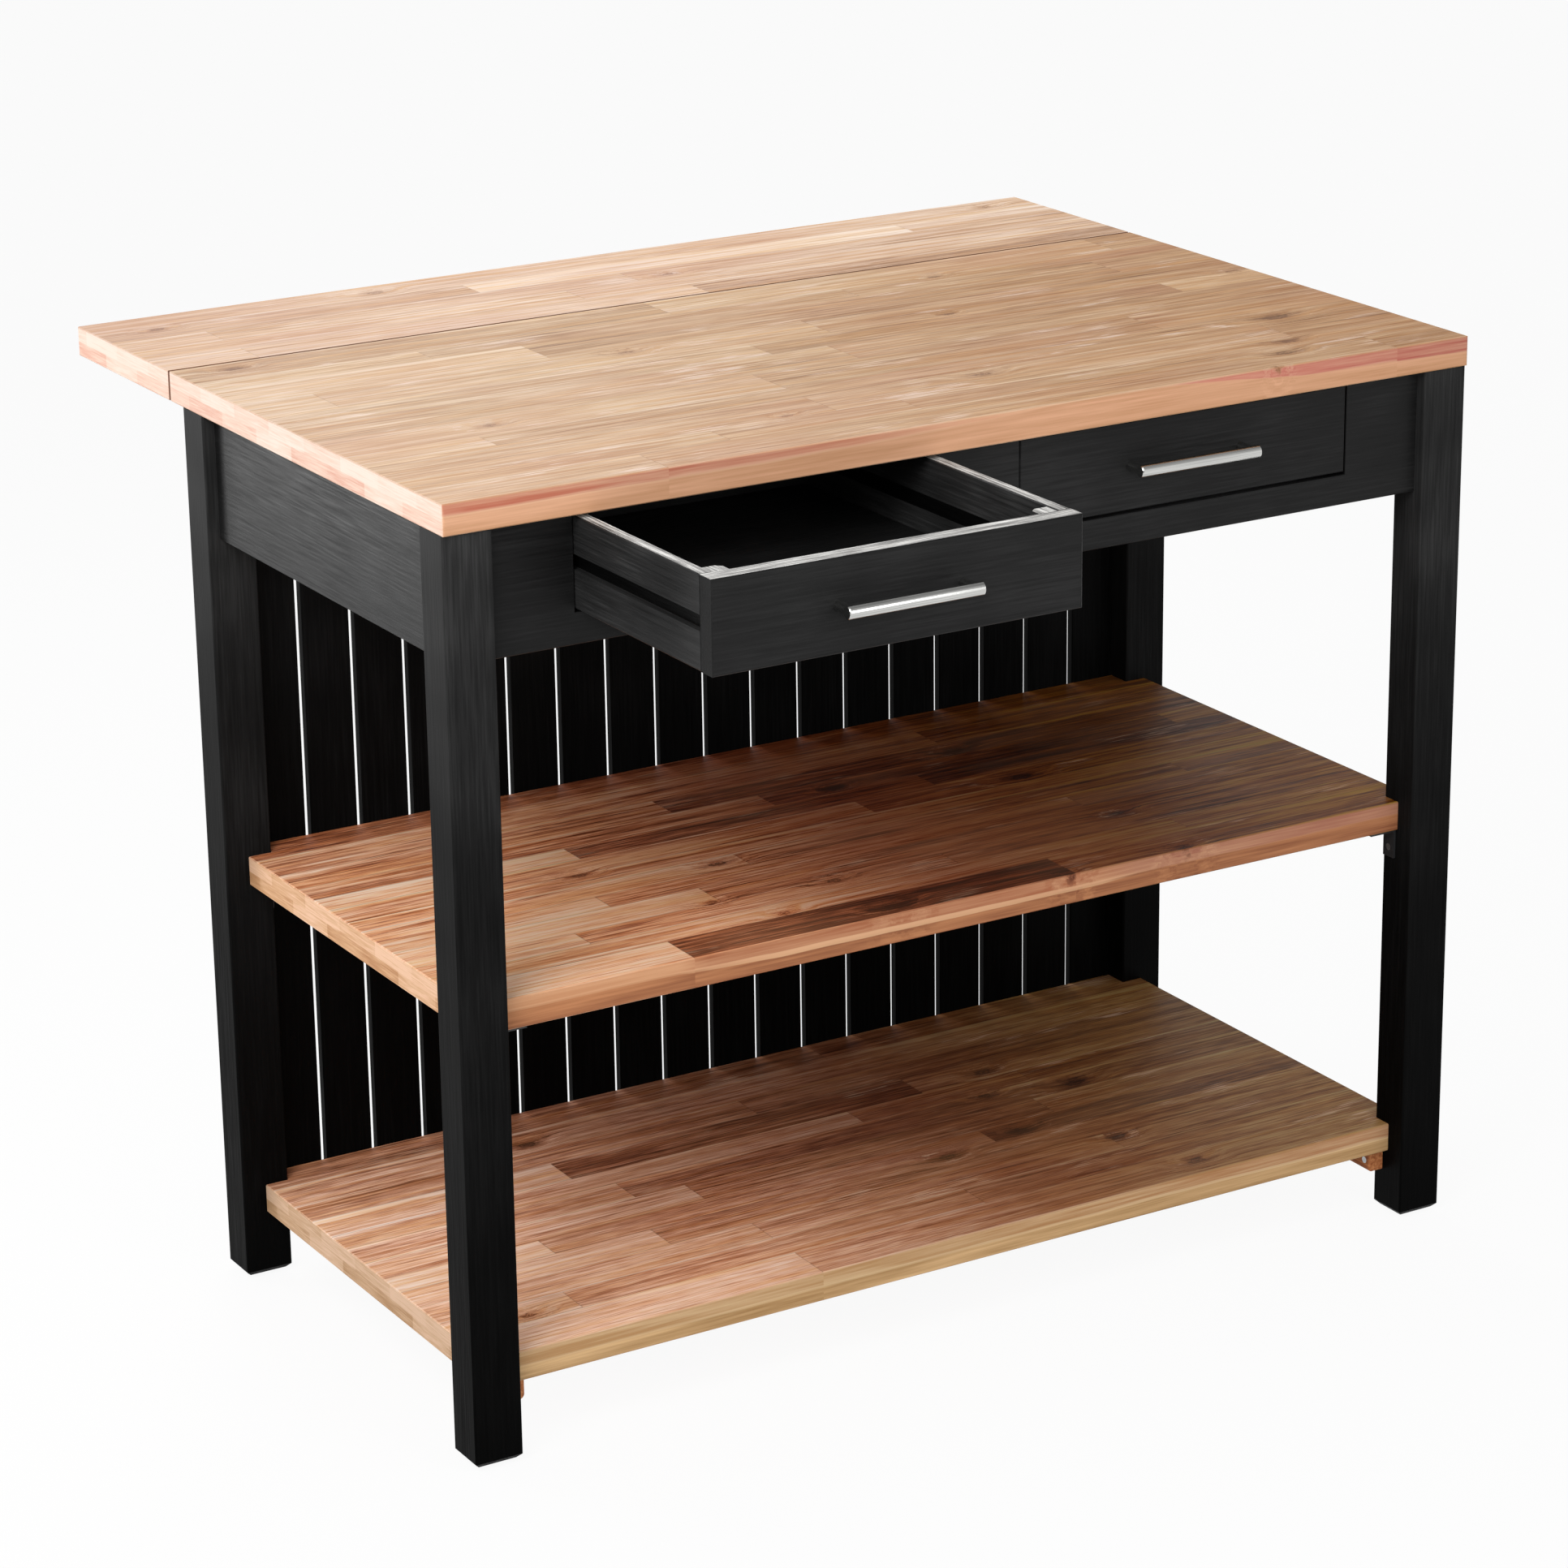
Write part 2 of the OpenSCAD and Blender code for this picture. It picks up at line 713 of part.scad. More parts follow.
// The inner face of a bearer is flush with the side of its drawer's opening.
function bearer_face_x(b) = b[1] * (drawer_x + b[2] * opening_w / 2);

module bearer(b) color([0.1, 0.1, 0.1]) {
    out = b[1] * b[2];
    x0 = bearer_face_x(b) - (out > 0 ? 0 : bearer_t);
    board(x0, apron_in_y, under_z - bearer_h, bearer_t, rear_in_y - apron_in_y, bearer_h, "y");
}

// A hardwood strip that fills the groove of the drawer's side but for its clearance.
module runner(b) color("tan") {
    out = b[1] * b[2];
    top_z = drawer_mid_z + groove_h / 2 - run_clear;
    x0 = bearer_face_x(b) - (out > 0 ? runner_out : 0);
    block(x0, runner_y, top_z - runner_h, runner_out, runner_l, runner_h);
}

// ---------------------------------------------------------------- drawers

// The boards of a drawer are drawn closed, about the middle of their opening.
module drawer_front() color([0.1, 0.1, 0.1]) {
    groove_z = panel_z;
    difference() {
        intersection() {
            board(-drawer_w / 2, apron_face_y, drawer_z, drawer_w, drawer_front_t, drawer_h, "x");
            board(-drawer_w / 2, apron_face_y, drawer_z, drawer_w, drawer_front_t, drawer_h, "z");
        }
        block(-drawer_w / 2 + drawer_side_t - panel_groove_d, side_y - panel_groove_d, groove_z,
              drawer_w - 2 * (drawer_side_t - panel_groove_d), panel_groove_d + 1,
              drawer_bottom_t + panel_slack);
        at_handle_screws() {
            translate([0, 0, -drawer_front_t - 1]) {
                cylinder(h = drawer_front_t + 2, d = handle_screw_dia + 2 * fit);
            }
        }
    }
}

// A side, grooved outside for the runner and inside for the bottom panel.
module drawer_side(side) color([0.1, 0.1, 0.1]) {
    x0 = side > 0 ? drawer_w / 2 - drawer_side_t : -drawer_w / 2;
    outer_x = side > 0 ? drawer_w / 2 - groove_d : -drawer_w / 2 - 1;
    inner_x = side > 0 ? x0 - 1 : x0 + drawer_side_t - panel_groove_d;
    difference() {
        board(x0, side_y, drawer_z, drawer_side_t, side_l, drawer_h, "y");
        block(outer_x, side_y - 1, drawer_mid_z - groove_h / 2, groove_d + 1, side_l + 2, groove_h);
        block(inner_x, side_y - 1, panel_z, panel_groove_d + 1, side_l + 2,
              drawer_bottom_t + panel_slack);
    }
}

module drawer_back() color([0.1, 0.1, 0.1]) {
    foot_z = panel_z + drawer_bottom_t + panel_slack;
    inside_w = drawer_w - 2 * drawer_side_t;
    board(-inside_w / 2, side_y + side_l - drawer_side_t, foot_z, inside_w, drawer_side_t,
          drawer_z + drawer_h - drawer_back_drop - foot_z, "x");
}

module drawer_bottom() color([0.16, 0.14, 0.12]) {
    tongue = panel_groove_d - panel_slack;
    panel_w = drawer_w - 2 * drawer_side_t + 2 * tongue;
    block(-panel_w / 2, side_y - tongue, panel_z, panel_w, side_l + tongue, drawer_bottom_t);
}

module drawer_glue_blocks() color([0.2, 0.2, 0.2]) {
    foot_z = panel_z + drawer_bottom_t + panel_slack;
    both_sides() translate([-drawer_w / 2 + drawer_side_t, side_y, foot_z]) {
        linear_extrude(drawer_z + drawer_h - 1 - foot_z) {
            polygon([
                [0, 0], [glue_block, 0], [glue_block, glue_block - glue_block_bevel],
                [glue_block - glue_block_bevel, glue_block], [0, glue_block]
            ]);
        }
    }
}

// Each handle screw's head bears on the inner face of the drawer's front.
module at_handle_screws() {
    for (sx = [-1, 1]) {
        translate([sx * post_pitch / 2, side_y, drawer_mid_z]) rotate([-90, 0, 0]) children();
    }
}

// A bar on two posts, with its ends chamfered and a threaded hole in each post.
module drawer_handle() color("silver") {
    chamfer = 0.8;
    r = handle_dia / 2;
    grip = handle_screw_grip + 1;
    translate([0, handle_y, drawer_mid_z]) difference() {
        union() {
            rotate([0, 90, 0]) rotate_extrude() polygon([
                [0, -handle_l / 2], [r - chamfer, -handle_l / 2], [r, -handle_l / 2 + chamfer],
                [r, handle_l / 2 - chamfer], [r - chamfer, handle_l / 2], [0, handle_l / 2]
            ]);
            for (sx = [-1, 1]) {
                translate([sx * post_pitch / 2, 0, 0]) rotate([-90, 0, 0]) {
                    cylinder(h = handle_reach, d = post_dia);
                }
            }
        }
        for (sx = [-1, 1]) {
            translate([sx * post_pitch / 2, handle_reach - grip, 0]) rotate([-90, 0, 0]) {
                cylinder(h = grip + 1, d = handle_screw_dia + 2 * fit);
            }
        }
    }
}

module drawer_handle_screws() color("silver") {
    at_handle_screws() {
        translate([0, 0, -drawer_front_t - handle_screw_grip]) {
            cylinder(h = drawer_front_t + handle_screw_grip, d = handle_screw_dia);
        }
        cylinder(h = handle_head_t, d = handle_head_dia);
    }
}

module drawer_part(part) {
    if (part == "front") drawer_front();
    if (part == "side_left") drawer_side(-1);
    if (part == "side_right") drawer_side(1);
    if (part == "back") drawer_back();
    if (part == "bottom") drawer_bottom();
    if (part == "glue_blocks") drawer_glue_blocks();
    if (part == "handle") drawer_handle();
    if (part == "handle_screws") drawer_handle_screws();
}

// ---------------------------------------------------------------- butt hinges

// One half of a hinge. The fixed half (side -1) has the outer knuckles, the leaf's half the others.
module hinge_half(x, side) color("silver") {
    r = barrel_dia / 2;
    first = side < 0 ? 0 : 1;
    y0 = side < 0 ? -hinge_w : hinge_w - plate_reach;
    difference() {
        translate([x, pin_y, pin_z]) difference() {
            union() {
                block(-hinge_l / 2, y0, r - hinge_t, hinge_l, plate_reach, hinge_t);
                for (k = [first:2:knuckles - 1]) {
                    from = -hinge_l / 2 + k * knuckle_l + (k == 0 ? 0 : knuckle_gap / 2);
                    to = -hinge_l / 2 + (k + 1) * knuckle_l - (k == knuckles - 1 ? 0 : knuckle_gap / 2);
                    translate([from, 0, 0]) rotate([0, 90, 0]) cylinder(h = to - from, r = r);
                    block(from, side < 0 ? -hinge_w : 0, r - hinge_t, to - from, hinge_w, hinge_t);
                }
            }
            translate([-hinge_l / 2 - 1, 0, 0]) rotate([0, 90, 0]) {
                cylinder(h = hinge_l + 2, r = hinge_pin_dia / 2 + fit);
            }
        }
        at_hinge_screws(side) screw_hole(screw_l);
    }
}

module hinge_pins() color("silver") {
    for (x = hinge_xs) {
        translate([x - hinge_l / 2, pin_y, pin_z]) rotate([0, 90, 0]) {
            cylinder(h = hinge_l, d = hinge_pin_dia);
        }
    }
}

// ---------------------------------------------------------------- folding leaf supports

// The plate on the back, with two ears for the strut's rivet.
module wall_plate(side) color("silver") {
    difference() {
        translate([side * support_x, 0, 0]) difference() {
            union() {
                block(-plate_w / 2, slat_back_y, rivet_z - plate_foot, plate_w, plate_t,
                      plate_rise + plate_foot);
                for (sx = [-1, 1]) {
                    translate([sx * (ear_gap + plate_t) / 2 - plate_t / 2, 0, 0]) {
                        block(0, wall_y - eps, rivet_z - ear_r, plate_t, rivet_reach + eps, 2 * ear_r);
                        translate([0, rivet_y, rivet_z]) rotate([0, 90, 0]) cylinder(h = plate_t, r = ear_r);
                    }
                }
            }
            translate([-plate_w / 2, rivet_y, rivet_z]) rotate([0, 90, 0]) {
                cylinder(h = plate_w, r = rivet_dia / 2 + fit);
            }
        }
        at_wall_plate_screws() screw_hole(screw_l);
    }
}

module strut_rivets() color("silver") {
    grip = ear_gap + 2 * plate_t;
    for (sx = [-1, 1]) {
        translate([sx * support_x - grip / 2, rivet_y, rivet_z]) rotate([0, 90, 0]) {
            cylinder(h = grip, d = rivet_dia);
            translate([0, 0, -rivet_head_t]) cylinder(h = rivet_head_t, r = rivet_head_r);
            translate([0, 0, grip]) cylinder(h = rivet_head_t, r = rivet_head_r);
        }
    }
}

// The strut: a flat bar with round ends, from its rivet up to the channel under the leaf.
module strut(side) color("silver") {
    translate([side * support_x - strut_t / 2, rivet_y, rivet_z]) {
        rotate([strut_angle, 0, 0]) difference() {
            union() {
                block(0, 0, -strut_w / 2, strut_t, strut_l, strut_w);
                for (y = [0, strut_l]) {
                    translate([0, y, 0]) rotate([0, 90, 0]) cylinder(h = strut_t, d = strut_w);
                }
            }
            translate([-1, 0, 0]) rotate([0, 90, 0]) cylinder(h = strut_t + 2, r = rivet_dia / 2 + fit);
        }
    }
}

// The channel under the leaf, open downwards, with a low detent that keeps the strut's tip.
module leaf_channel(side) color("silver") {
    wall_x = channel_gap / 2;
    difference() {
        translate([side * support_x, pin_y + channel_from, under_z - channel_t]) {
            block(-plate_w / 2, 0, 0, plate_w, channel_l, channel_t);
            for (x = [-wall_x - channel_t, wall_x]) {
                block(x, 0, -flange_d, channel_t, channel_l, flange_d + eps);
            }
            block(-wall_x - eps, tip_y - pin_y - channel_from + strut_w / 2 + tip_gap, -detent_h,
                  channel_gap + 2 * eps, detent_l, detent_h + eps);
        }
        at_channel_screws() screw_hole(screw_l);
    }
}

// ---------------------------------------------------------------- screws

module frame_screws() color("silver") {
    at_hinge_screws(-1) screw(screw_l);
    at_wall_plate_screws() screw(screw_l + slat_t);
    at_angle_screws() screw(screw_l);
    at_brace_screws() screw(screw_l);
    at_batten_screws() screw(batten_screw_l);
}

module leaf_screws() color("silver") {
    at_hinge_screws(1) screw(screw_l);
    at_channel_screws() screw(screw_l);
}

// ---------------------------------------------------------------- the unit

module home() {
    translate([0, home_y, 0]) children();
}

home() worktop();
home() drop_leaf();
home() leg(-leg_x, leg_front_y);  // leg_front_left
home() leg(leg_x, leg_front_y);  // leg_front_right
home() leg(-leg_x, leg_back_y);  // leg_back_left
home() leg(leg_x, leg_back_y);  // leg_back_right
home() foot_glides();
home() front_apron();
home() side_apron(-1);  // side_apron_left
home() side_apron(1);  // side_apron_right
home() rear_apron();
home() corner_braces();
home() brace_bolts();
home() shelf(middle_shelf_z);  // middle_shelf
home() shelf(bottom_shelf_z);  // bottom_shelf
home() batten(-1);  // batten_left
home() batten(1);  // batten_right
home() angle_brackets();
home() back_slats();
home() frame_screws();
home() hinge_pins();
home() leaf_screws();
home() strut_rivets();
for (b = BEARERS) {
    home() bearer(b);
    home() runner(b);
}
for (i = [1:3]) {
    home() hinge_half(hinge_xs[i - 1], -1);
    home() hinge_half(hinge_xs[i - 1], 1);
}
for (i = [0, 1]) {
    side = 2 * i - 1;
    home() wall_plate(side);
    home() leaf_channel(side);
    home() strut(side);
}
for (d = DRAWERS, p = DRAWER_PARTS) {
    union() {
        home() translate([d[1] * drawer_x, -d[2], 0]) drawer_part(p);
    }
}
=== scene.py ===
"""Looks of the kitchen island unit: painted frame, hardwood boards, steel fittings and a plain studio."""

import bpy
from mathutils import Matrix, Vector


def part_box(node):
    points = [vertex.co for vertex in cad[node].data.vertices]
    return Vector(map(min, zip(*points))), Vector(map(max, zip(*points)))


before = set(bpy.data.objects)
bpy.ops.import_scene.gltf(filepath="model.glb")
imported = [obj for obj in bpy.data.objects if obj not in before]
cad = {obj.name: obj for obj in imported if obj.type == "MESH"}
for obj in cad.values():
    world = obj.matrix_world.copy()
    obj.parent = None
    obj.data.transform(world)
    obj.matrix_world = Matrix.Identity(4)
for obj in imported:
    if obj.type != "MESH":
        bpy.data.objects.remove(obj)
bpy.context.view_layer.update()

import math
import bpy
import numpy as np
from mathutils import Matrix, Vector


# ---- Legs ---------------------------------------------------------------------------------------------
# Four nearly square posts of planed hardwood, sprayed near-black; the aprons butt against them.
# The paint is thin, so the long grain of each post shows through it as a faint ribbing.

mm_in_metre = 1000


def linear(colour):
    """Turns an sRGB hex colour to the linear colour that shaders take: each channel c is c/12.92 where it is
    small, and ((c + 0.055) / 1.055) to the power 2.4 elsewhere."""
    c = np.array([int(colour[i:i + 2], 16) for i in (1, 3, 5)]) / 255
    return (*np.where(c <= 0.04045, c / 12.92, ((c + 0.055) / 1.055) ** 2.4).tolist(), 1.0)


def grey(share):
    """A linear grey that keeps this share of the light, from 0 to 1."""
    return (share, share, share, 1.0)


def add(tree, kind, inputs=None, stops=(), stepped=False, **settings):
    """Adds a shader node. Settings are its own options; inputs are its sockets by name or number, each given
    a value, another node (its first output) or another node's output. stops are a colour ramp's positions,
    from 0 to 1, each with its colour; a stepped ramp holds each colour up to the next stop."""
    node = tree.nodes.new("ShaderNode" + kind)
    for name, value in settings.items():
        setattr(node, name, value)
    for name, value in (inputs or {}).items():
        if isinstance(value, bpy.types.Node):
            value = value.outputs[0]
        if isinstance(value, bpy.types.NodeSocket):
            tree.links.new(value, node.inputs[name])
        else:
            node.inputs[name].default_value = value
    if stops:
        ramp = node.color_ramp
        ramp.interpolation = "CONSTANT" if stepped else "LINEAR"
        ramp.elements.remove(ramp.elements[1])
        ramp.elements[0].position, ramp.elements[0].color = stops[0]
        for position, colour in stops[1:]:
            ramp.elements.new(position).color = colour
    return node


def new_finish(name, **constants):
    """A material with its shader, whose constant values are set straight on its sockets."""
    material = bpy.data.materials.new(name)
    material.use_nodes = True
    shader = material.node_tree.nodes["Principled BSDF"]
    for socket, value in constants.items():
        shader.inputs[socket.replace("_", " ")].default_value = value
    return material, material.node_tree, shader


def drive(tree, shader, **sources):
    """Links nodes to the shader's sockets, named with _ for a space."""
    for socket, node in sources.items():
        tree.links.new(node.outputs[0], shader.inputs[socket.replace("_", " ")])


def give(material, *names):
    """Puts a material in the first slot of the CAD nodes that carry it."""
    for name in names:
        cad[name].data.materials[0] = material


def satin_black(name, grain, worn_and_highlit_above=None, groove=None, sheen=0.11,
                coats=("#101010", "#171717", "#232323"), painted_shade_at_floor=1.0):
    """Satin black paint on wood.
    grain is the (x, y, z) size in mm of one rib of the long grain under the paint.
    worn_and_highlit_above is the height in metres above which level faces are rubbed through to a chalky grey
    and lightened further to near white as a painted highlight. groove is the lowest and highest place in
    metres of a groove, painted dead black over that height as painted shade. sheen is the specular level.
    coats are the paint's darkest, middle and palest tone, and painted_shade_at_floor is the share of them
    left
    at the floor: below 1, the coat darkens towards the floor as painted shade."""
    material, tree, shader = new_finish(name, Specular_IOR_Level=sheen, IOR=1.5)
    place = add(tree, "TexCoord")
    height = add(tree, "SeparateXYZ", {0: place.outputs["Object"]}).outputs["Z"]
    ribs_at = add(tree, "Mapping", {"Vector": place.outputs["Object"],
                                    "Scale": tuple(mm_in_metre / size for size in grain)})
    ribs = add(tree, "TexNoise", {"Vector": ribs_at, "Scale": 1.0, "Detail": 3.0, "Roughness": 0.6})
    cloud_size = 125       # mm, clouding of the sprayed coat
    cloud = add(tree, "TexNoise", {"Vector": place.outputs["Object"], "Scale": mm_in_metre / cloud_size,
                                   "Detail": 2.0})
    both = add(tree, "MixRGB", {0: 0.5, 1: ribs, 2: cloud})
    darkest, middle, palest = (linear(coat) for coat in coats)
    colour = add(tree, "ValToRGB", {"Fac": both}, [(0.32, darkest), (0.5, middle), (0.68, palest)])
    # Painted shade: below 1, the coat darkens towards the floor along the ramp below.
    if painted_shade_at_floor < 1:
        full_tone_at = 0.88        # metres above the floor, just over the tops of the legs
        up = add(tree, "MapRange", {"Value": height, "From Max": full_tone_at})
        painted_shade_shares = ((0.0, painted_shade_at_floor), (0.35, 0.15), (0.65, 0.42), (1.0, 1.0))
        left = add(tree, "ValToRGB", {"Fac": up}, [(at, grey(share)) for at, share in painted_shade_shares])
        colour = add(tree, "MixRGB", {0: 1.0, 1: colour, 2: left}, blend_type="MULTIPLY")
    # Real wear and a painted highlight: level faces up high are rubbed to a chalky grey and lifted to near
    # white.
    if worn_and_highlit_above is not None:
        facing = add(tree, "SeparateXYZ", {0: place.outputs["Normal"]})
        level = add(tree, "MapRange", {"Value": facing.outputs["Z"], "From Min": 0.8, "From Max": 0.95})
        high = add(tree, "Math", {0: height, 1: worn_and_highlit_above}, operation="GREATER_THAN")
        rim = add(tree, "Math", {0: level, 1: high}, operation="MULTIPLY")
        rub = add(tree, "TexNoise", {"Vector": ribs_at, "Scale": 0.8, "Detail": 6.0, "Roughness": 0.8})
        chalk_and_highlight = add(tree, "ValToRGB", {"Fac": rub},
                    [(0.36, linear("#2a2a29")), (0.48, linear("#868583")), (0.62, linear("#e8e7e3"))])
        colour = add(tree, "MixRGB", {0: rim, 1: colour, 2: chalk_and_highlight})
    # Painted shade: a dead-black band over the groove's height stands in for the shade inside the groove.
    if groove is not None:
        lowest, highest = groove
        inside = add(tree, "Math", {0: height, 1: (lowest + highest) / 2, 2: (highest - lowest) / 2},
                     operation="COMPARE")
        colour = add(tree, "MixRGB", {0: inside, 1: colour, 2: linear("#040404")})
    rough = add(tree, "MapRange", {"Value": ribs, "From Min": 0.3, "From Max": 0.7, "To Min": 0.32,
                                   "To Max": 0.56})
    relief = add(tree, "Bump", {"Height": ribs, "Strength": 0.5, "Distance": 0.0004})
    drive(tree, shader, Base_Color=colour, Roughness=rough, Normal=relief)
    return material


upright_grain = (2.2, 2.2, 70)     # mm
# Painted sheen and shade: the legs' paler coats partly stand in for the sheen they are given almost none of,
# and the coat darkens to near black at the floor.
upright_paint = satin_black("satin_black_paint_upright_grain_painted_sheen_and_shade", upright_grain, sheen=0.02,
                            coats=("#1e1e1e", "#2a2a2a", "#3a3a3a"), painted_shade_at_floor=0.04)
give(upright_paint, "leg_front_left", "leg_front_right", "leg_back_left", "leg_back_right")


# ---- Foot glides --------------------------------------------------------------------------------------
# A black nylon disc with a nail in it, hammered into the end grain of each leg.
# Moulded nylon is matt, with a slight mottling from the mould.

mottle_size = 5 / 3        # mm
material, tree, shader = new_finish("moulded_black_nylon", Specular_IOR_Level=0.4, IOR=1.53)
place = add(tree, "TexCoord")
mottle = add(tree, "TexNoise", {"Vector": place.outputs["Object"], "Scale": mm_in_metre / mottle_size,
                                "Detail": 2.0})
shade = add(tree, "ValToRGB", {"Fac": mottle}, [(0.3, linear("#1d1d1e")), (0.7, linear("#2c2c2d"))])
rough = add(tree, "MapRange", {"Value": mottle, "To Min": 0.5, "To Max": 0.7})
drive(tree, shader, Base_Color=shade, Roughness=rough)
give(material, "foot_glides")


# ---- Aprons and bearers -------------------------------------------------------------------------------
# Painted hardwood boards between the legs, drawn tight to them by corner braces. The front one is cut out
# for the drawers, and four bearers cross behind it. The grain runs along each board.

long_grain = (70, 2.2, 2.2)        # mm
cross_grain = (2.2, 70, 2.2)       # mm
long_paint = satin_black("satin_black_paint_long_grain", long_grain)
cross_paint = satin_black("satin_black_paint_cross_grain", cross_grain)
bearers = ("left_outer", "left_inner", "right_inner", "right_outer")
give(long_paint, "front_apron", "rear_apron")
give(cross_paint, "side_apron_left", "side_apron_right", *("bearer_" + bearer for bearer in bearers))


# ---- Back slats ---------------------------------------------------------------------------------------
# Eighteen thin upright boards with an open joint between them, fixed to the back of the rear apron.
# They have one thin coat of the same paint, so they are more matt than the aprons.

# Painted shade: the slats' coat darkens towards the floor.
slat_paint = satin_black("thin_matt_black_paint_upright_grain_painted_shade", upright_grain, sheen=0.02, painted_shade_at_floor=0.2)
give(slat_paint, "back_slats")


# ---- Drawers ------------------------------------------------------------------------------------------
# Boxes of painted board, grooved outside for the runners, with glue blocks in the front corners.
# The top edges are rubbed to a chalky grey by use and lightened further to near white as a painted
# highlight. A dead-black band over the groove's height is painted shade, and the sides' paler coats are
# painted light.

rim_depth = 0.003          # metres below the sides' top edge that a rubbed face may lie
drawer_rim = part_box("drawer_left_side_left")[1].z - rim_depth
# Drawer fronts and backs: rubbed rims with a painted highlight.
rubbed_and_highlit_long = satin_black("rubbed_and_highlit_satin_black_paint_long_grain", long_grain, drawer_rim)
groove_gap = 0.0005        # metres of the groove over and under its runner, a little more than the real gap
runner_low, runner_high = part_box("runner_left_outer")
# Drawer sides: rubbed rims with a painted highlight, paler coats as painted light on the sides, and a
# dead-black band over the groove as painted shade.
rubbed_lit_and_shaded_cross = satin_black("rubbed_lit_and_shaded_satin_black_paint_cross_grain", cross_grain, drawer_rim,
                        (runner_low.z - groove_gap, runner_high.z + groove_gap),
                        coats=("#1a1a1a", "#272727", "#3c3c3c"))
for side in ("left", "right"):
    drawer = "drawer_" + side + "_"
    give(rubbed_and_highlit_long, drawer + "front", drawer + "back")
    give(rubbed_lit_and_shaded_cross, drawer + "side_left", drawer + "side_right", drawer + "glue_blocks")
    give(long_paint, drawer + "bottom")


# ---- Drawer handles -----------------------------------------------------------------------------------
# A stainless steel bar on two short posts, screwed through the drawer's front. It is brushed along its length
# and then buffed, so it mirrors the room in long bands with soft edges. Brush lines are drawn 0.6 mm apart:
# the real ones are too fine to show.

brush_line = (90, 0.6, 0.6)        # mm
material, tree, shader = new_finish("brushed_stainless_steel", Metallic=1.0)
place = add(tree, "TexCoord")
lines_at = add(tree, "Mapping", {"Vector": place.outputs["Object"],
                                 "Scale": tuple(mm_in_metre / size for size in brush_line)})
lines = add(tree, "TexNoise", {"Vector": lines_at, "Scale": 1.0, "Detail": 2.0})
shade = add(tree, "ValToRGB", {"Fac": lines}, [(0.3, linear("#b4b4b2")), (0.7, linear("#d6d6d3"))])
rough = add(tree, "MapRange", {"Value": lines, "To Min": 0.12, "To Max": 0.2})
drive(tree, shader, Base_Color=shade, Roughness=rough)
give(material, "drawer_left_handle", "drawer_right_handle")


# ---- Steel fittings -----------------------------------------------------------------------------------
# Hinges, struts, channels, corner braces and screws of zinc-plated steel, pressed or turned and screwed on.
# It is a dull blue-grey metal with a faint spangle and soft scuffs.

spangle_size = 3           # mm
scuff_size = 100 / 9       # mm
material, tree, shader = new_finish("zinc_plated_pressed_steel", Metallic=1.0)
place = add(tree, "TexCoord")
spangle = add(tree, "TexVoronoi", {"Vector": place.outputs["Object"], "Scale": mm_in_metre / spangle_size})
scuff = add(tree, "TexNoise", {"Vector": place.outputs["Object"], "Scale": mm_in_metre / scuff_size,
                               "Detail": 3.0})
both = add(tree, "MixRGB", {0: 0.35, 1: scuff, 2: spangle.outputs["Color"]})
shade = add(tree, "ValToRGB", {"Fac": both}, [(0.25, linear("#8e9294")), (0.75, linear("#c3c6c6"))])
rough = add(tree, "MapRange", {"Value": both, "To Min": 0.34, "To Max": 0.52})
drive(tree, shader, Base_Color=shade, Roughness=rough)
fittings = ["corner_braces", "brace_bolts", "hinge_pins", "strut_rivets", "frame_screws", "leaf_screws"]
fittings += [part + str(hinge) for part in ("hinge_fixed_", "hinge_leaf_") for hinge in (1, 2, 3)]
fittings += [part + side for part in ("wall_plate_", "leaf_channel_", "strut_") for side in ("left", "right")]
fittings += ["drawer_left_handle_screws", "drawer_right_handle_screws"]
give(material, *fittings)


# ---- Angle brackets -----------------------------------------------------------------------------------
# Bent steel angles screwed under the middle shelf and the worktop, powder coated black.
# The coat has the fine orange-peel of a baked powder.

peel_size = 1.2            # mm
material, tree, shader = new_finish("black_powder_coated_steel", Specular_IOR_Level=0.5, IOR=1.5)
place = add(tree, "TexCoord")
peel = add(tree, "TexNoise", {"Vector": place.outputs["Object"], "Scale": mm_in_metre / peel_size,
                              "Detail": 1.0})
shade = add(tree, "ValToRGB", {"Fac": peel}, [(0.3, linear("#1b1b1c")), (0.7, linear("#262627"))])
rough = add(tree, "MapRange", {"Value": peel, "To Min": 0.35, "To Max": 0.5})
relief = add(tree, "Bump", {"Height": peel, "Strength": 0.4, "Distance": 0.0001})
drive(tree, shader, Base_Color=shade, Roughness=rough, Normal=relief)
give(material, "angle_brackets")


# ---- Battens and drawer runners -----------------------------------------------------------------------
# Strips of bare planed hardwood: the battens carry the bottom shelf, and the runners sit in the drawers'
# grooves. Unfinished wood is matt and orange-tan, its grain along the strip, front to back.

strip_grain = (3, 60, 3)           # mm
material, tree, shader = new_finish("bare_planed_hardwood", Specular_IOR_Level=0.25, IOR=1.5)
place = add(tree, "TexCoord")
grain_at = add(tree, "Mapping", {"Vector": place.outputs["Object"],
                                 "Scale": tuple(mm_in_metre / size for size in strip_grain)})
grain = add(tree, "TexNoise", {"Vector": grain_at, "Scale": 1.0, "Detail": 4.0, "Distortion": 0.4})
shade = add(tree, "ValToRGB", {"Fac": grain},
            [(0.3, linear("#8a4c2a")), (0.5, linear("#a9683e")), (0.7, linear("#c28656"))])
rough = add(tree, "MapRange", {"Value": grain, "To Min": 0.6, "To Max": 0.75})
relief = add(tree, "Bump", {"Height": grain, "Strength": 0.2, "Distance": 0.0003})
drive(tree, shader, Base_Color=shade, Roughness=rough, Normal=relief)
give(material, "batten_left", "batten_right", *("runner_" + bearer for bearer in bearers))


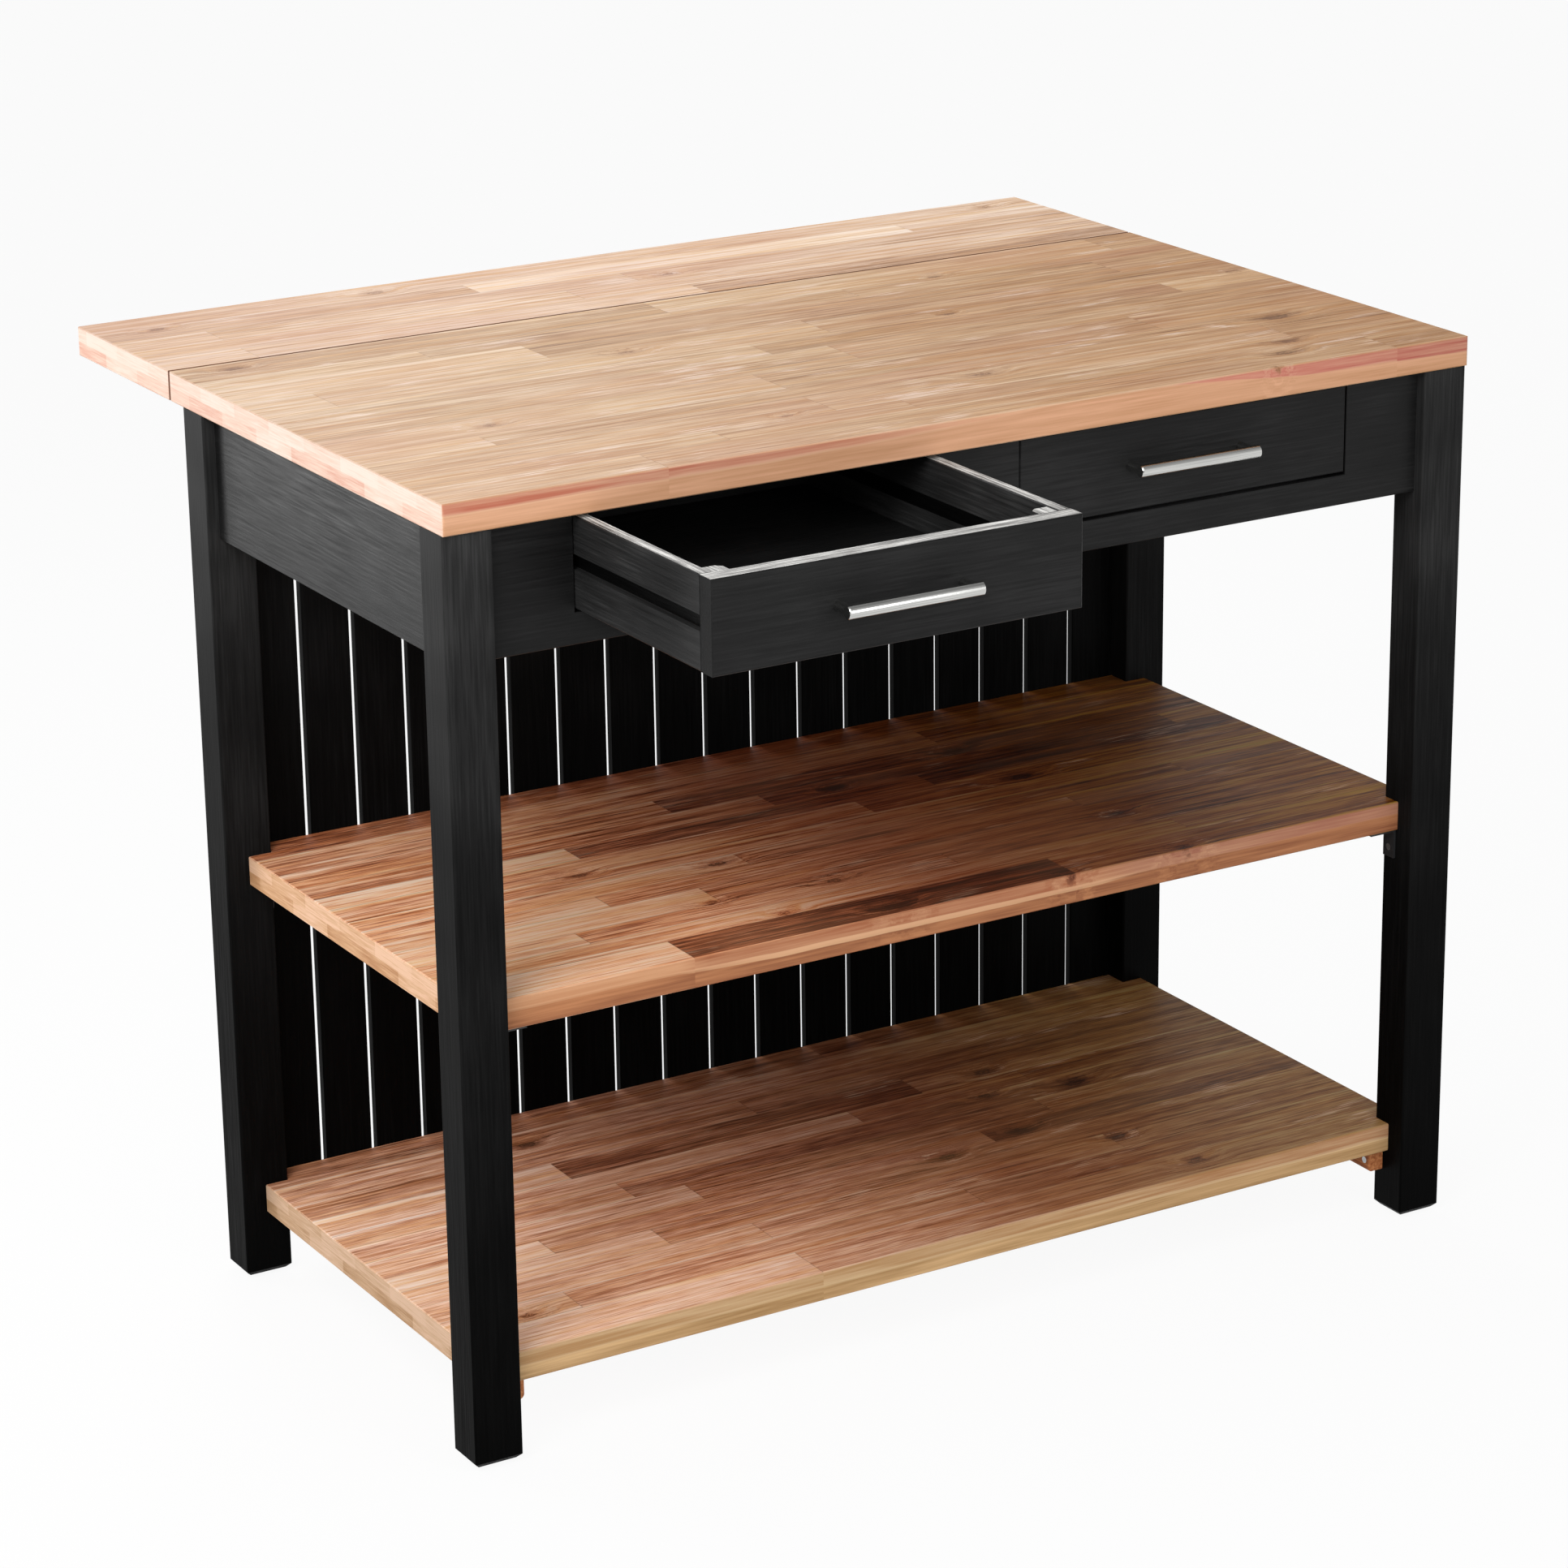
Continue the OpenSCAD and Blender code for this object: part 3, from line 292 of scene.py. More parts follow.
# ---- Worktop and drop leaf ----------------------------------------------------------------------------
# Boards of pale hardwood staves, glued edge to edge and end to end in two plies, sanded and oiled.
# The joints are tight: a stave shows by its own tone, a hairline, and the sapwood left along some edges.

row_step = 2.5         # mm, the step that stave widths are sawn to
last_entry = 255       # a colour ramp is read as a table of entries 0 to 255, and a row starts between two
extent = 2000.0        # mm, the length that 1 stands for in a ramp's colours
no_joint = extent      # past the end of every board: the row has one joint fewer


def lay_staves(tree, x, y, rows):
    """Where a point x, y, in mm, lies among the staves, looked up on stepped ramps over y. Gives by name the
    distance behind its row's front edge, before its back edge and to the nearest joint of any kind, the
    stave's shade, and the stave's own random colour."""
    across = add(tree, "Math", {0: y, 1: last_entry * row_step}, operation="DIVIDE")
    starts = np.cumsum([0.0] + [row[0] for row in rows[:-1]])
    stops = [max(0.0, (start / row_step - 0.5) / last_entry) for start in starts]
    lot_step = 0.37        # sets the rows' random numbers apart, from 0 to 1
    edges = [(start / extent, (start + row[0]) / extent, (place * lot_step) % 1, 1)
             for place, (start, row) in enumerate(zip(starts, rows))]
    joints = [(row[1] / extent, row[2] / extent, 0, 1) for row in rows]
    shades = [(*row[3:6], 1) for row in rows]
    looked_up = []
    for colours in (edges, joints, shades):
        ramp = add(tree, "ValToRGB", {"Fac": across}, list(zip(stops, colours)), stepped=True)
        looked_up.append(add(tree, "SeparateColor", {0: ramp}).outputs)
    (front, back, lot), (first_joint, second_joint, _), (left, middle, right) = looked_up

    from_front = add(tree, "Math", {0: front, 1: extent}, operation="MULTIPLY")
    from_front = add(tree, "Math", {0: y, 1: from_front}, operation="SUBTRACT")
    to_back = add(tree, "Math", {0: back, 1: extent}, operation="MULTIPLY")
    to_back = add(tree, "Math", {0: to_back, 1: y}, operation="SUBTRACT")
    to_edge = add(tree, "Math", {0: from_front, 1: to_back}, operation="MINIMUM")
    past = []
    reach = []
    for joint in (first_joint, second_joint):
        beyond = add(tree, "Math", {0: joint, 1: -extent, 2: x}, operation="MULTIPLY_ADD")
        past.append(add(tree, "Math", {0: beyond, 1: 0.0}, operation="GREATER_THAN"))
        reach.append(add(tree, "Math", {0: beyond}, operation="ABSOLUTE"))
    to_end = add(tree, "Math", {0: reach[0], 1: reach[1]}, operation="MINIMUM")
    to_joint = add(tree, "Math", {0: to_edge, 1: to_end}, operation="MINIMUM")
    shade = add(tree, "MixRGB", {0: past[0], 1: left, 2: middle})
    shade = add(tree, "MixRGB", {0: past[1], 1: shade, 2: right})
    # A stave's number is its place in the row, 0 to 2, and 17 times the row's own.
    number = add(tree, "Math", {0: past[0], 1: past[1]}, operation="ADD")
    number = add(tree, "Math", {0: lot, 1: 17.0, 2: number}, operation="MULTIPLY_ADD")
    chance = add(tree, "TexWhiteNoise", {"W": number}, noise_dimensions="1D")
    return {"from_front": from_front, "to_back": to_back, "to_joint": to_joint, "shade": shade,
            "chance": chance.outputs["Color"]}


def knot_distance(tree, millimetres, knots):
    """Distance to the nearest knot, in that knot's radii. Knots are (from left, from front, radius) in mm.
    They are twice as long along the grain as across it, ragged at the rim, and run together where they
    meet."""
    rag_size = 6                           # mm
    stray_along, stray_across = 9, 4.5     # mm, how far the rim strays at most
    rag = add(tree, "TexNoise", {"Vector": millimetres, "Scale": 1 / rag_size, "Detail": 3.0,
                                 "Roughness": 0.7})
    rag = add(tree, "VectorMath", {0: rag.outputs["Color"], 1: (2 * stray_along, 2 * stray_across, 0),
                                   2: (-stray_along, -stray_across, 0)}, operation="MULTIPLY_ADD")
    ragged = add(tree, "VectorMath", {0: millimetres, 1: rag}, operation="ADD")
    near = None
    for left, front, radius in knots:
        # The heart lies just under the top face, where 0.3 of the height in mm comes to 8.
        spot = add(tree, "Mapping", {"Vector": ragged, "Scale": (0.5 / radius, 1 / radius, 0.3 / radius),
                                     "Location": (-0.5 * left / radius, -front / radius, -8.0 / radius)})
        length = add(tree, "VectorMath", {0: spot}, operation="LENGTH").outputs["Value"]
        if near is None:
            near = length
        else:
            near = add(tree, "Math", {0: near, 1: length, 2: 0.6}, operation="SMOOTH_MIN")
    return near


def wood_grain(tree, wood, near):
    """The noises that the grain is made of, by name: each is stretched along the wood and swirls round the
    knots."""
    swirl_reach = 5.5      # radii round a knot within which the grain swirls
    swirl = add(tree, "MapRange", {"Value": near, "From Min": 0.0, "From Max": swirl_reach, "To Min": 2.6,
                                   "To Max": 0.0}, interpolation_type="SMOOTHSTEP")
    flow = add(tree, "CombineXYZ", {"Y": swirl})
    # The (x, y, z) size in mm of one mark, its detail and how far it bends.
    marks = {"figure": ((240, 11, 14), 3, 0.3), "ribs": ((110, 2.6, 2.6), 4, 0.0),
             "fibres": ((30, 1.1, 1.1), 2, 0.0), "veins": ((170, 3.4, 3.4), 3, 0.25),
             "gold": ((300, 7, 7), 2, 0.0), "filler": ((42, 1.6, 1.6), 2, 0.2),
             "patch": ((110, 28, 28), 1, 0.0)}
    grain = {}
    for mark, (sizes, detail, bend) in marks.items():
        where = add(tree, "Mapping", {"Vector": wood, "Scale": tuple(1 / size for size in sizes)})
        where = add(tree, "VectorMath", {0: where, 1: flow}, operation="ADD")
        grain[mark] = add(tree, "TexNoise", {"Vector": where, "Scale": 1.0, "Detail": detail,
                                             "Roughness": 0.6, "Distortion": bend})
    return grain


def stave_value(tree, staves, wood, grain, near, weights):
    """How dark a point of a face is, from 0 to 1: its stave's own shade, then its figure, ribs and fibres,
    its veins, which are dark or pale, the sapwood and the knots."""
    *shading, vein = weights
    value = staves["shade"]
    for mark, weight in zip(("figure", "ribs", "fibres"), shading):
        value = add(tree, "Math", {0: grain[mark], 1: weight, 2: value}, operation="MULTIPLY_ADD")
    value = add(tree, "Math", {0: value, 1: sum(shading) / 2}, operation="SUBTRACT")
    dark_vein = add(tree, "MapRange", {"Value": grain["veins"], "From Min": 0.56, "From Max": 0.70,
                                       "To Max": vein})
    pale_vein = add(tree, "MapRange", {"Value": grain["veins"], "From Min": 0.28, "From Max": 0.42,
                                       "To Min": vein, "To Max": 0.0})
    value = add(tree, "Math", {0: value, 1: dark_vein}, operation="ADD")
    value = add(tree, "Math", {0: value, 1: pale_vein}, operation="SUBTRACT")

    # Sapwood is a pale strip along the back edge of some staves. Its width in mm, up to about 12, changes in
    # waves along the stave and from one stave to the next.
    wave_length = 130      # mm
    own = add(tree, "SeparateColor", {0: staves["chance"]})
    wave_at = add(tree, "VectorMath", {0: wood, 1: (1 / wave_length, 0.0, 0.0)}, operation="MULTIPLY")
    wave = add(tree, "TexNoise", {"Vector": wave_at, "Scale": 1.0, "Detail": 2.0})
    width = add(tree, "Math", {0: wave, 1: 22.0, 2: -9.0}, operation="MULTIPLY_ADD")
    width = add(tree, "Math", {0: own.outputs[0], 1: 12.0, 2: width}, operation="MULTIPLY_ADD")
    width = add(tree, "Math", {0: width, 1: 6.0}, operation="SUBTRACT")
    inside = add(tree, "Math", {0: width, 1: staves["to_back"]}, operation="SUBTRACT")
    sap = add(tree, "MapRange", {"Value": inside, "From Min": -1.0, "From Max": 1.5, "To Max": 0.55})
    value = add(tree, "Math", {0: sap, 1: -0.5, 2: value}, operation="MULTIPLY_ADD")
    # Others keep a straight pale line along the front edge, a millimetre or two wide.
    lip = add(tree, "MapRange", {"Value": staves["from_front"], "From Min": 0.8, "From Max": 2.2,
                                 "To Min": -0.4, "To Max": 0.0})
    lipped = add(tree, "Math", {0: own.outputs[1], 1: 0.55}, operation="GREATER_THAN")
    value = add(tree, "Math", {0: lip, 1: lipped, 2: value}, operation="MULTIPLY_ADD")

    # Knots have a dark heart, a paler eye and a dark ring, and they fade out within 3 radii.
    drawn_to = 3.0
    outward = add(tree, "Math", {0: near, 1: drawn_to}, operation="DIVIDE")
    rings = ((0.0, 1.0), (0.07, 0.9), (0.14, 0.3), (0.24, 0.75), (0.36, 0.3), (0.9, 0.0))
    ring = add(tree, "ValToRGB", {"Fac": outward}, [(at, grey(dark)) for at, dark in rings])
    return add(tree, "Math", {0: ring, 1: 0.8, 2: value}, operation="MULTIPLY_ADD")


def board_face(tree, value, grain, wood, along, tones, tint_and_shade_tones, blush_tone, filler_tone, white):
    """The colour of the top and bottom faces. The hue drifts from stave to stave and along the board, where
    on the shelves it also darkens towards the middle and the right as painted shade, and the filler shows as
    short whitish streaks along the grain."""
    last = len(tones) - 1
    face = add(tree, "ValToRGB", {"Fac": value}, [(i / last, linear(tone)) for i, tone in enumerate(tones)])
    # Tint along the board; on the shelves it is mostly painted shade, darkening towards the middle and right.
    tint_and_shade = add(tree, "ValToRGB", {"Fac": along}, [(at, linear(tone)) for at, tone in tint_and_shade_tones])
    face = add(tree, "MixRGB", {0: 1.0, 1: face, 2: tint_and_shade}, blend_type="MULTIPLY")
    gold = add(tree, "MapRange", {"Value": grain["gold"], "From Min": 0.42, "From Max": 0.66})
    face = add(tree, "MixRGB", {0: gold, 1: face, 2: linear("#f8e7c8")}, blend_type="MULTIPLY")
    blush_size = 260       # mm
    drift = add(tree, "TexNoise", {"Vector": wood, "Scale": 1 / blush_size, "Detail": 2.0})
    blush = add(tree, "MapRange", {"Value": drift, "From Min": 0.4, "From Max": 0.7, "To Max": 0.22})
    face = add(tree, "MixRGB", {0: blush, 1: face, 2: linear(blush_tone)})
    rare = add(tree, "Math", {0: grain["filler"], 1: grain["patch"]}, operation="MULTIPLY")
    streak = add(tree, "MapRange", {"Value": rare, "From Min": 0.36, "From Max": 0.44, "To Max": white})
    return add(tree, "MixRGB", {0: streak, 1: face, 2: linear(filler_tone)})


def board_edge(tree, z, grain, wood, along, near, thickness, edge_tones, plies, knot_tone):
    """The colour of the long edges: two plies, the upper one of redder heartwood whose depth changes along
    the board, and a pale glue line where the two meet. A knot that is cut through darkens them."""
    depths = add(tree, "ValToRGB", {"Fac": along},
                 [(at, (depth, clear, 0, 1)) for at, depth, clear, _ in plies])
    depth, clear, _ = add(tree, "SeparateColor", {0: depths}).outputs
    red = add(tree, "ValToRGB", {"Fac": along}, [(at, linear(tone)) for at, _, _, tone in plies])
    wander_length = 90     # mm
    stray = 1.5            # mm, how far the joint between the plies wanders up or down
    wander = add(tree, "TexNoise", {"Vector": wood, "Scale": 1 / wander_length, "Detail": 3.0})
    above = add(tree, "Math", {0: depth, 1: thickness, 2: z}, operation="MULTIPLY_ADD")
    above = add(tree, "Math", {0: above, 1: thickness + stray}, operation="SUBTRACT")
    above = add(tree, "Math", {0: wander, 1: 2 * stray, 2: above}, operation="MULTIPLY_ADD")
    upper = add(tree, "MapRange", {"Value": above, "From Min": -0.5, "From Max": 0.5})
    mixed = add(tree, "Math", {0: grain["ribs"], 1: 0.5}, operation="MULTIPLY")
    mixed = add(tree, "Math", {0: grain["figure"], 1: 0.5, 2: mixed}, operation="MULTIPLY_ADD")
    paler, darker, glue = (linear(tone) for tone in edge_tones)
    lower_tone = add(tree, "ValToRGB", {"Fac": mixed}, [(0.35, paler), (0.65, darker)])
    lighter = add(tree, "MapRange", {"Value": mixed, "From Min": 0.4, "From Max": 0.68, "To Max": 0.6})
    upper_tone = add(tree, "MixRGB", {0: lighter, 1: red, 2: glue})
    edge = add(tree, "MixRGB", {0: upper, 1: lower_tone, 2: upper_tone})
    wider = 2.4            # mm that each side of the glue line gains where it is quite clear
    line = add(tree, "Math", {0: above}, operation="ABSOLUTE")
    line = add(tree, "Math", {0: clear, 1: -wider, 2: line}, operation="MULTIPLY_ADD")
    line = add(tree, "MapRange", {"Value": line, "From Min": 0.4, "From Max": 1.1, "To Min": 1.0,
                                  "To Max": 0.0})
    line = add(tree, "Math", {0: line, 1: clear}, operation="MULTIPLY")
    edge = add(tree, "MixRGB", {0: line, 1: edge, 2: glue})
    eye = add(tree, "MapRange", {"Value": near, "From Min": 0.2, "From Max": 1.1, "To Min": 0.85,
                                 "To Max": 0.0})
    return add(tree, "MixRGB", {0: eye, 1: edge, 2: linear(knot_tone)})


def board_end(tree, millimetres, y, z, thickness, end_tones):
    """The colour of the sawn ends: pale and close, sanded smooth, with faint streaks along the end, and with
    blocks of their own tone where the staves of each ply end."""
    streak_length, streak_height = 45, 1.8     # mm
    block_width = 74                           # mm
    streaks_at = add(tree, "Mapping", {"Vector": millimetres,
                                       "Scale": (0.0, 1 / streak_length, 1 / streak_height)})
    streaks = add(tree, "TexNoise", {"Vector": streaks_at, "Scale": 1.0, "Detail": 3.0, "Roughness": 0.65,
                                     "Distortion": 0.3})
    ply = add(tree, "Math", {0: z, 1: thickness * 0.5}, operation="GREATER_THAN")
    block = add(tree, "Math", {0: y, 1: 1 / block_width, 2: ply}, operation="MULTIPLY_ADD")
    # The upper ply's blocks have numbers of their own, and they meet above other places than the lower ones.
    block = add(tree, "Math", {0: ply, 1: 9.37, 2: block}, operation="MULTIPLY_ADD")
    block = add(tree, "Math", {0: block}, operation="FLOOR")
    chance = add(tree, "TexWhiteNoise", {"W": block}, noise_dimensions="1D")
    value = add(tree, "Math", {0: chance.outputs["Value"], 1: 0.22, 2: 0.08}, operation="MULTIPLY_ADD")
    value = add(tree, "Math", {0: ply, 1: -0.14, 2: value}, operation="MULTIPLY_ADD")
    value = add(tree, "Math", {0: streaks, 1: 0.85, 2: value}, operation="MULTIPLY_ADD")
    palest, middle, darkest = (linear(tone) for tone in end_tones)
    return add(tree, "ValToRGB", {"Fac": value}, [(0.40, palest), (0.62, middle), (0.85, darkest)])


def staved_board(name, node, rows, knots, tones, tint_and_shade_tones, edge_tones, plies, end_tones, weights, white,
                 seam=None):
    """Dresses a CAD node as an oiled hardwood board, glued up from staves that run along X.
    rows lists from the front each row's width, the places of two end joints from the left, in mm, and the
    shade of its three staves from 0, pale, to 1, dark. knots are (from left, from front, radius) in mm. tones
    are the colours of shades 0 to 1, and tint_and_shade_tones tint the board from the left, 0, to the right,
    1;
    on the shelves they also darken it towards the middle and the right as painted shade.
    edge_tones are the two colours of the lower ply on the long edges and that of the glue line. plies follow
    the board from the left, 0, to the right, 1: the upper ply's share of the thickness, how clear the glue
    line is, and the ply's colour. end_tones are those of the sawn ends. weights say how strongly the figure,
    the ribs, the fibres and the veins shade the wood, and white how clear the filler is. seam is the place
    from the front, in mm, of an edge that meets another board, where the gap between them is painted dark as
    painted shade."""
    material, tree, shader = new_finish(name, Specular_IOR_Level=0.15, IOR=1.5)
    low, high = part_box(node)
    thickness = mm_in_metre * (high.z - low.z)
    place = add(tree, "TexCoord")
    millimetres = add(tree, "Mapping", {"Vector": place.outputs["Object"], "Scale": (mm_in_metre,) * 3,
                                        "Location": tuple(-mm_in_metre * edge for edge in low)})
    x, y, z = add(tree, "SeparateXYZ", {0: millimetres}).outputs
    along = add(tree, "MapRange", {"Value": x, "From Max": mm_in_metre * (high.x - low.x)})
    staves = lay_staves(tree, x, y, rows)
    near = knot_distance(tree, millimetres, knots)
    # Each stave is cut from its own place in the tree: its grain starts from a random place, in mm.
    jump = add(tree, "VectorMath", {0: staves["chance"], 1: (900, 90, 90)}, operation="MULTIPLY")
    wood = add(tree, "VectorMath", {0: millimetres, 1: jump}, operation="ADD")
    grain = wood_grain(tree, wood, near)

    value = stave_value(tree, staves, wood, grain, near, weights)
    face = board_face(tree, value, grain, wood, along, tones, tint_and_shade_tones, plies[0][3], end_tones[0], white)
    hairline = add(tree, "MapRange", {"Value": staves["to_joint"], "From Min": 0.25, "From Max": 0.9,
                                      "To Min": 0.30, "To Max": 0.0})
    colour = add(tree, "MixRGB", {0: hairline, 1: face, 2: linear(tones[-1])})
    edge = board_edge(tree, z, grain, wood, along, near, thickness, edge_tones, plies, tones[-1])
    end = board_end(tree, millimetres, y, z, thickness, end_tones)
    facing = add(tree, "SeparateXYZ", {0: place.outputs["Normal"]})
    for outward, tone in ((facing.outputs["Y"], edge), (facing.outputs["X"], end)):
        share = add(tree, "Math", {0: outward}, operation="ABSOLUTE")
        share = add(tree, "MapRange", {"Value": share, "From Min": 0.55, "From Max": 0.85})
        colour = add(tree, "MixRGB", {0: share, 1: colour, 2: tone})
    # Painted shade: a dark strip along the edge that meets the other board, where the gap between them lies.
    if seam is not None:
        seam_reach = 1.2       # mm
        dirt = add(tree, "Math", {0: y, 1: seam, 2: seam_reach}, operation="COMPARE")
        dirt = add(tree, "Math", {0: dirt, 1: 0.85}, operation="MULTIPLY")
        colour = add(tree, "MixRGB", {0: dirt, 1: colour, 2: linear("#54301d")})

    rough = add(tree, "MapRange", {"Value": grain["ribs"], "From Min": 0.3, "From Max": 0.7, "To Min": 0.45,
                                   "To Max": 0.6})
    height = add(tree, "Math", {0: hairline, 1: -2.0, 2: grain["ribs"]}, operation="MULTIPLY_ADD")
    relief = add(tree, "Bump", {"Height": height, "Strength": 0.25, "Distance": 0.0002})
    drive(tree, shader, Base_Color=colour, Roughness=rough, Normal=relief)
    give(material, node)


pale_wood = {
    "edge_tones": ("#c99979", "#ad7f5c", "#d6b293"),
    "plies": ((0.0, 0.38, 0.3, "#a9614c"), (0.3, 0.32, 0.3, "#ac6a54"), (0.46, 0.2, 0.2, "#be886a"),
              (0.6, 0.0, 0.0, "#c99874"), (0.68, 0.0, 0.0, "#bd7e6a"), (0.82, 0.40, 0.1, "#ad6054"),
              (1.0, 0.50, 0.1, "#9a5145")),
    "end_tones": ("#e4cdbf", "#dcbba8", "#cd9884"),
    "weights": (0.8, 1.0, 0.7, 0.30),
    "white": 0.7}
worktop_low, worktop_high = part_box("worktop")
staved_board(
    "oiled_pale_hardwood_staves", "worktop",
    rows=((52.5, 219, 1005, 0.42, 0.50, 0.55), (37.5, 311, 510, 0.45, 0.50, 0.52),
          (60.0, 443, 952, 0.45, 0.42, 0.55), (35.0, 131, no_joint, 0.30, 0.52, 0.52),
          (62.5, 447, 867, 0.34, 0.55, 0.48), (60.0, 564, no_joint, 0.45, 0.52, 0.52),
          (42.5, 504, 976, 0.45, 0.60, 0.30), (57.5, 75, 596, 0.25, 0.35, 0.56),
          (60.0, 322, 975, 0.22, 0.56, 0.52), (35.0, 229, 700, 0.35, 0.52, 0.48),
          (60.5, 507, 1028, 0.52, 0.28, 0.48)),
    knots=((157, 215, 4), (986, 165, 7), (625, 130, 5), (392, 390, 4), (905, 42, 5), (55, 536, 4),
           (808, 500, 3), (1068, 350, 5), (730, 352, 3), (395, 97, 3), (935, 78, 4), (867, 0, 2)),
    tones=("#e6ceb6", "#d5b697", "#c39f7c", "#ab8460", "#7d5838"),
    tint_and_shade_tones=((0.0, "#f1f1ef"), (0.5, "#f6f6f3"), (1.0, "#ebdfcd")),
    seam=mm_in_metre * (worktop_high.y - worktop_low.y), **pale_wood)
staved_board(
    "oiled_pale_hardwood_staves_of_the_leaf", "drop_leaf",
    rows=((45.0, 95, 585, 0.30, 0.38, 0.72), (40.0, 468, no_joint, 0.40, 0.45, 0.45),
          (42.5, 96, 552, 0.35, 0.48, 0.52), (40.0, 394, 905, 0.56, 0.12, 0.42),
          (49.5, no_joint, no_joint, 0.42, 0.42, 0.42)),
    knots=((306, 185, 5), (1032, 190, 4), (590, 95, 4), (60, 160, 4)),
    tones=("#f2e2d4", "#e4ccb7", "#d3b399", "#bb967a", "#8e6b4e"),
    tint_and_shade_tones=((0.0, "#efe8e2"), (0.5, "#faf5f0"), (1.0, "#ffffff")),
    seam=0.0, **pale_wood)


# ---- Shelves ------------------------------------------------------------------------------------------
# Two boards made as the worktop is, of darker red-brown staves, notched round the legs. The middle one lies
# on angle brackets and the bottom one on the battens. Their staves at the left are paler, as painted light,
# and from the left to the right the boards darken and turn from orange to an olive brown as painted shade.

staved_board(
    "oiled_dark_hardwood_staves_of_the_middle_shelf", "middle_shelf",
    # The first staves of each row, at the left, are paler as painted light.
    rows=((50.0, 224, 637, 0.12, 0.82, 0.47), (32.5, 801, no_joint, 0.27, 0.50, 0.50),
          (32.5, 163, 560, 0.24, 0.42, 0.55), (42.5, 318, no_joint, 0.18, 0.50, 0.55),
          (32.5, 225, 753, 0.24, 0.44, 0.55), (32.5, 393, 900, 0.30, 0.50, 0.60),
          (30.0, no_joint, no_joint, 0.38, 0.45, 0.50), (37.5, 571, no_joint, 0.34, 0.55, 0.50),
          (32.5, 264, 665, 0.22, 0.62, 0.75), (35.0, 500, 980, 0.45, 0.75, 0.55),
          (42.5, 404, no_joint, 0.45, 0.70, 0.70), (50.0, 738, no_joint, 0.40, 0.60, 0.60),
          (45.5, no_joint, no_joint, 0.60, 0.60, 0.60)),
    knots=((739, 371, 5), (574, 334, 4), (750, 265, 6), (367, 207, 5), (435, 107, 4), (351, 56, 4),
           (767, 121, 4), (444, 16, 5), (240, 249, 4), (309, 118, 3), (632, 0, 3), (764, 3, 4)),
    tones=("#ffe4cc", "#fac49e", "#d48b65", "#8c4e33", "#451c0e"),
    # Painted shade: the shelf darkens and turns olive towards the middle and the right.
    tint_and_shade_tones=((0.0, "#ffffff"), (0.25, "#f3e6dc"), (0.5, "#a88778"), (0.78, "#876e2c"), (1.0, "#9c9034")),
    edge_tones=("#ae7650", "#7c4a30", "#cfa27c"),
    plies=((0.0, 0.38, 0.3, "#b98560"), (0.2, 0.38, 0.3, "#b7835f"), (0.23, 0.45, 0.5, "#94583a"),
           (0.30, 0.50, 0.8, "#985c3e"), (0.5, 0.50, 0.8, "#9c6042"), (0.64, 0.5, 0.6, "#9e6244"),
           (0.68, 0.45, 0.1, "#935c48"), (1.0, 0.4, 0.1, "#9a6652")),
    end_tones=("#e0b798", "#c99c74", "#a9754c"), weights=(0.9, 1.0, 1.0, 0.38), white=0.35)
staved_board(
    "oiled_dark_hardwood_staves_of_the_bottom_shelf", "bottom_shelf",
    # The first staves of each row, at the left, are paler as painted light.
    rows=((52.5, 355, no_joint, 0.22, 0.40, 0.40), (40.0, 128, 570, 0.28, 0.45, 0.50),
          (40.0, 355, 761, 0.36, 0.42, 0.50), (40.0, 266, no_joint, 0.26, 0.50, 0.50),
          (35.0, 163, 661, 0.10, 0.45, 0.70), (40.0, 346, 753, 0.35, 0.58, 0.48),
          (40.0, 291, no_joint, 0.40, 0.60, 0.55), (32.5, 576, 780, 0.35, 0.50, 0.60),
          (42.5, 260, 667, 0.30, 0.68, 0.50), (40.0, 497, no_joint, 0.50, 0.62, 0.62),
          (47.5, no_joint, no_joint, 0.45, 0.55, 0.60), (46.0, 633, no_joint, 0.60, 0.60, 0.60)),
    knots=((262, 418, 5), (717, 279, 4), (813, 259, 6), (600, 167, 5), (770, 118, 4), (801, 28, 5),
           (77, 64, 4), (698, 185, 4), (750, 334, 5)),
    tones=("#ffeadb", "#f1cab0", "#cc9577", "#8f5c43", "#482819"),
    # Painted shade: the shelf darkens and turns olive towards the middle and the right.
    tint_and_shade_tones=((0.0, "#ffffff"), (0.3, "#f2e8e2"), (0.6, "#ab9382"), (0.82, "#a4966e"), (1.0, "#b0a877")),
    edge_tones=("#c9a578", "#97744a", "#dcc39c"),
    plies=((0.0, 0.5, 0.2, "#a98258"), (0.4, 0.5, 0.2, "#a57e54"), (0.7, 0.45, 0.3, "#a0744c"),
           (1.0, 0.5, 0.3, "#9a6440")),
    end_tones=("#d2b094", "#be9a78", "#a07850"), weights=(0.7, 0.8, 1.0, 0.24), white=0.6)


# ---- Studio -------------------------------------------------------------------------------------------
# A pale floor sheet, a big soft box at the upper left, weaker ones in front and behind, and even light all
# round. The camera looks down on the front left corner through a long lens.

reach = 30.0           # metres from the middle of the floor sheet to its sides
mesh = bpy.data.meshes.new("studio_floor")
mesh.from_pydata([(-reach, -reach, 0), (reach, -reach, 0), (reach, reach, 0), (-reach, reach, 0)], [],
                 [(0, 1, 2, 3)])
floor = bpy.data.objects.new("studio_floor", mesh)
scene = bpy.context.scene
scene.collection.objects.link(floor)
material, tree, shader = new_finish("pale_studio_paper", Roughness=0.9, Specular_IOR_Level=0.0)
shader.inputs["Base Color"].default_value = linear("#dedede")
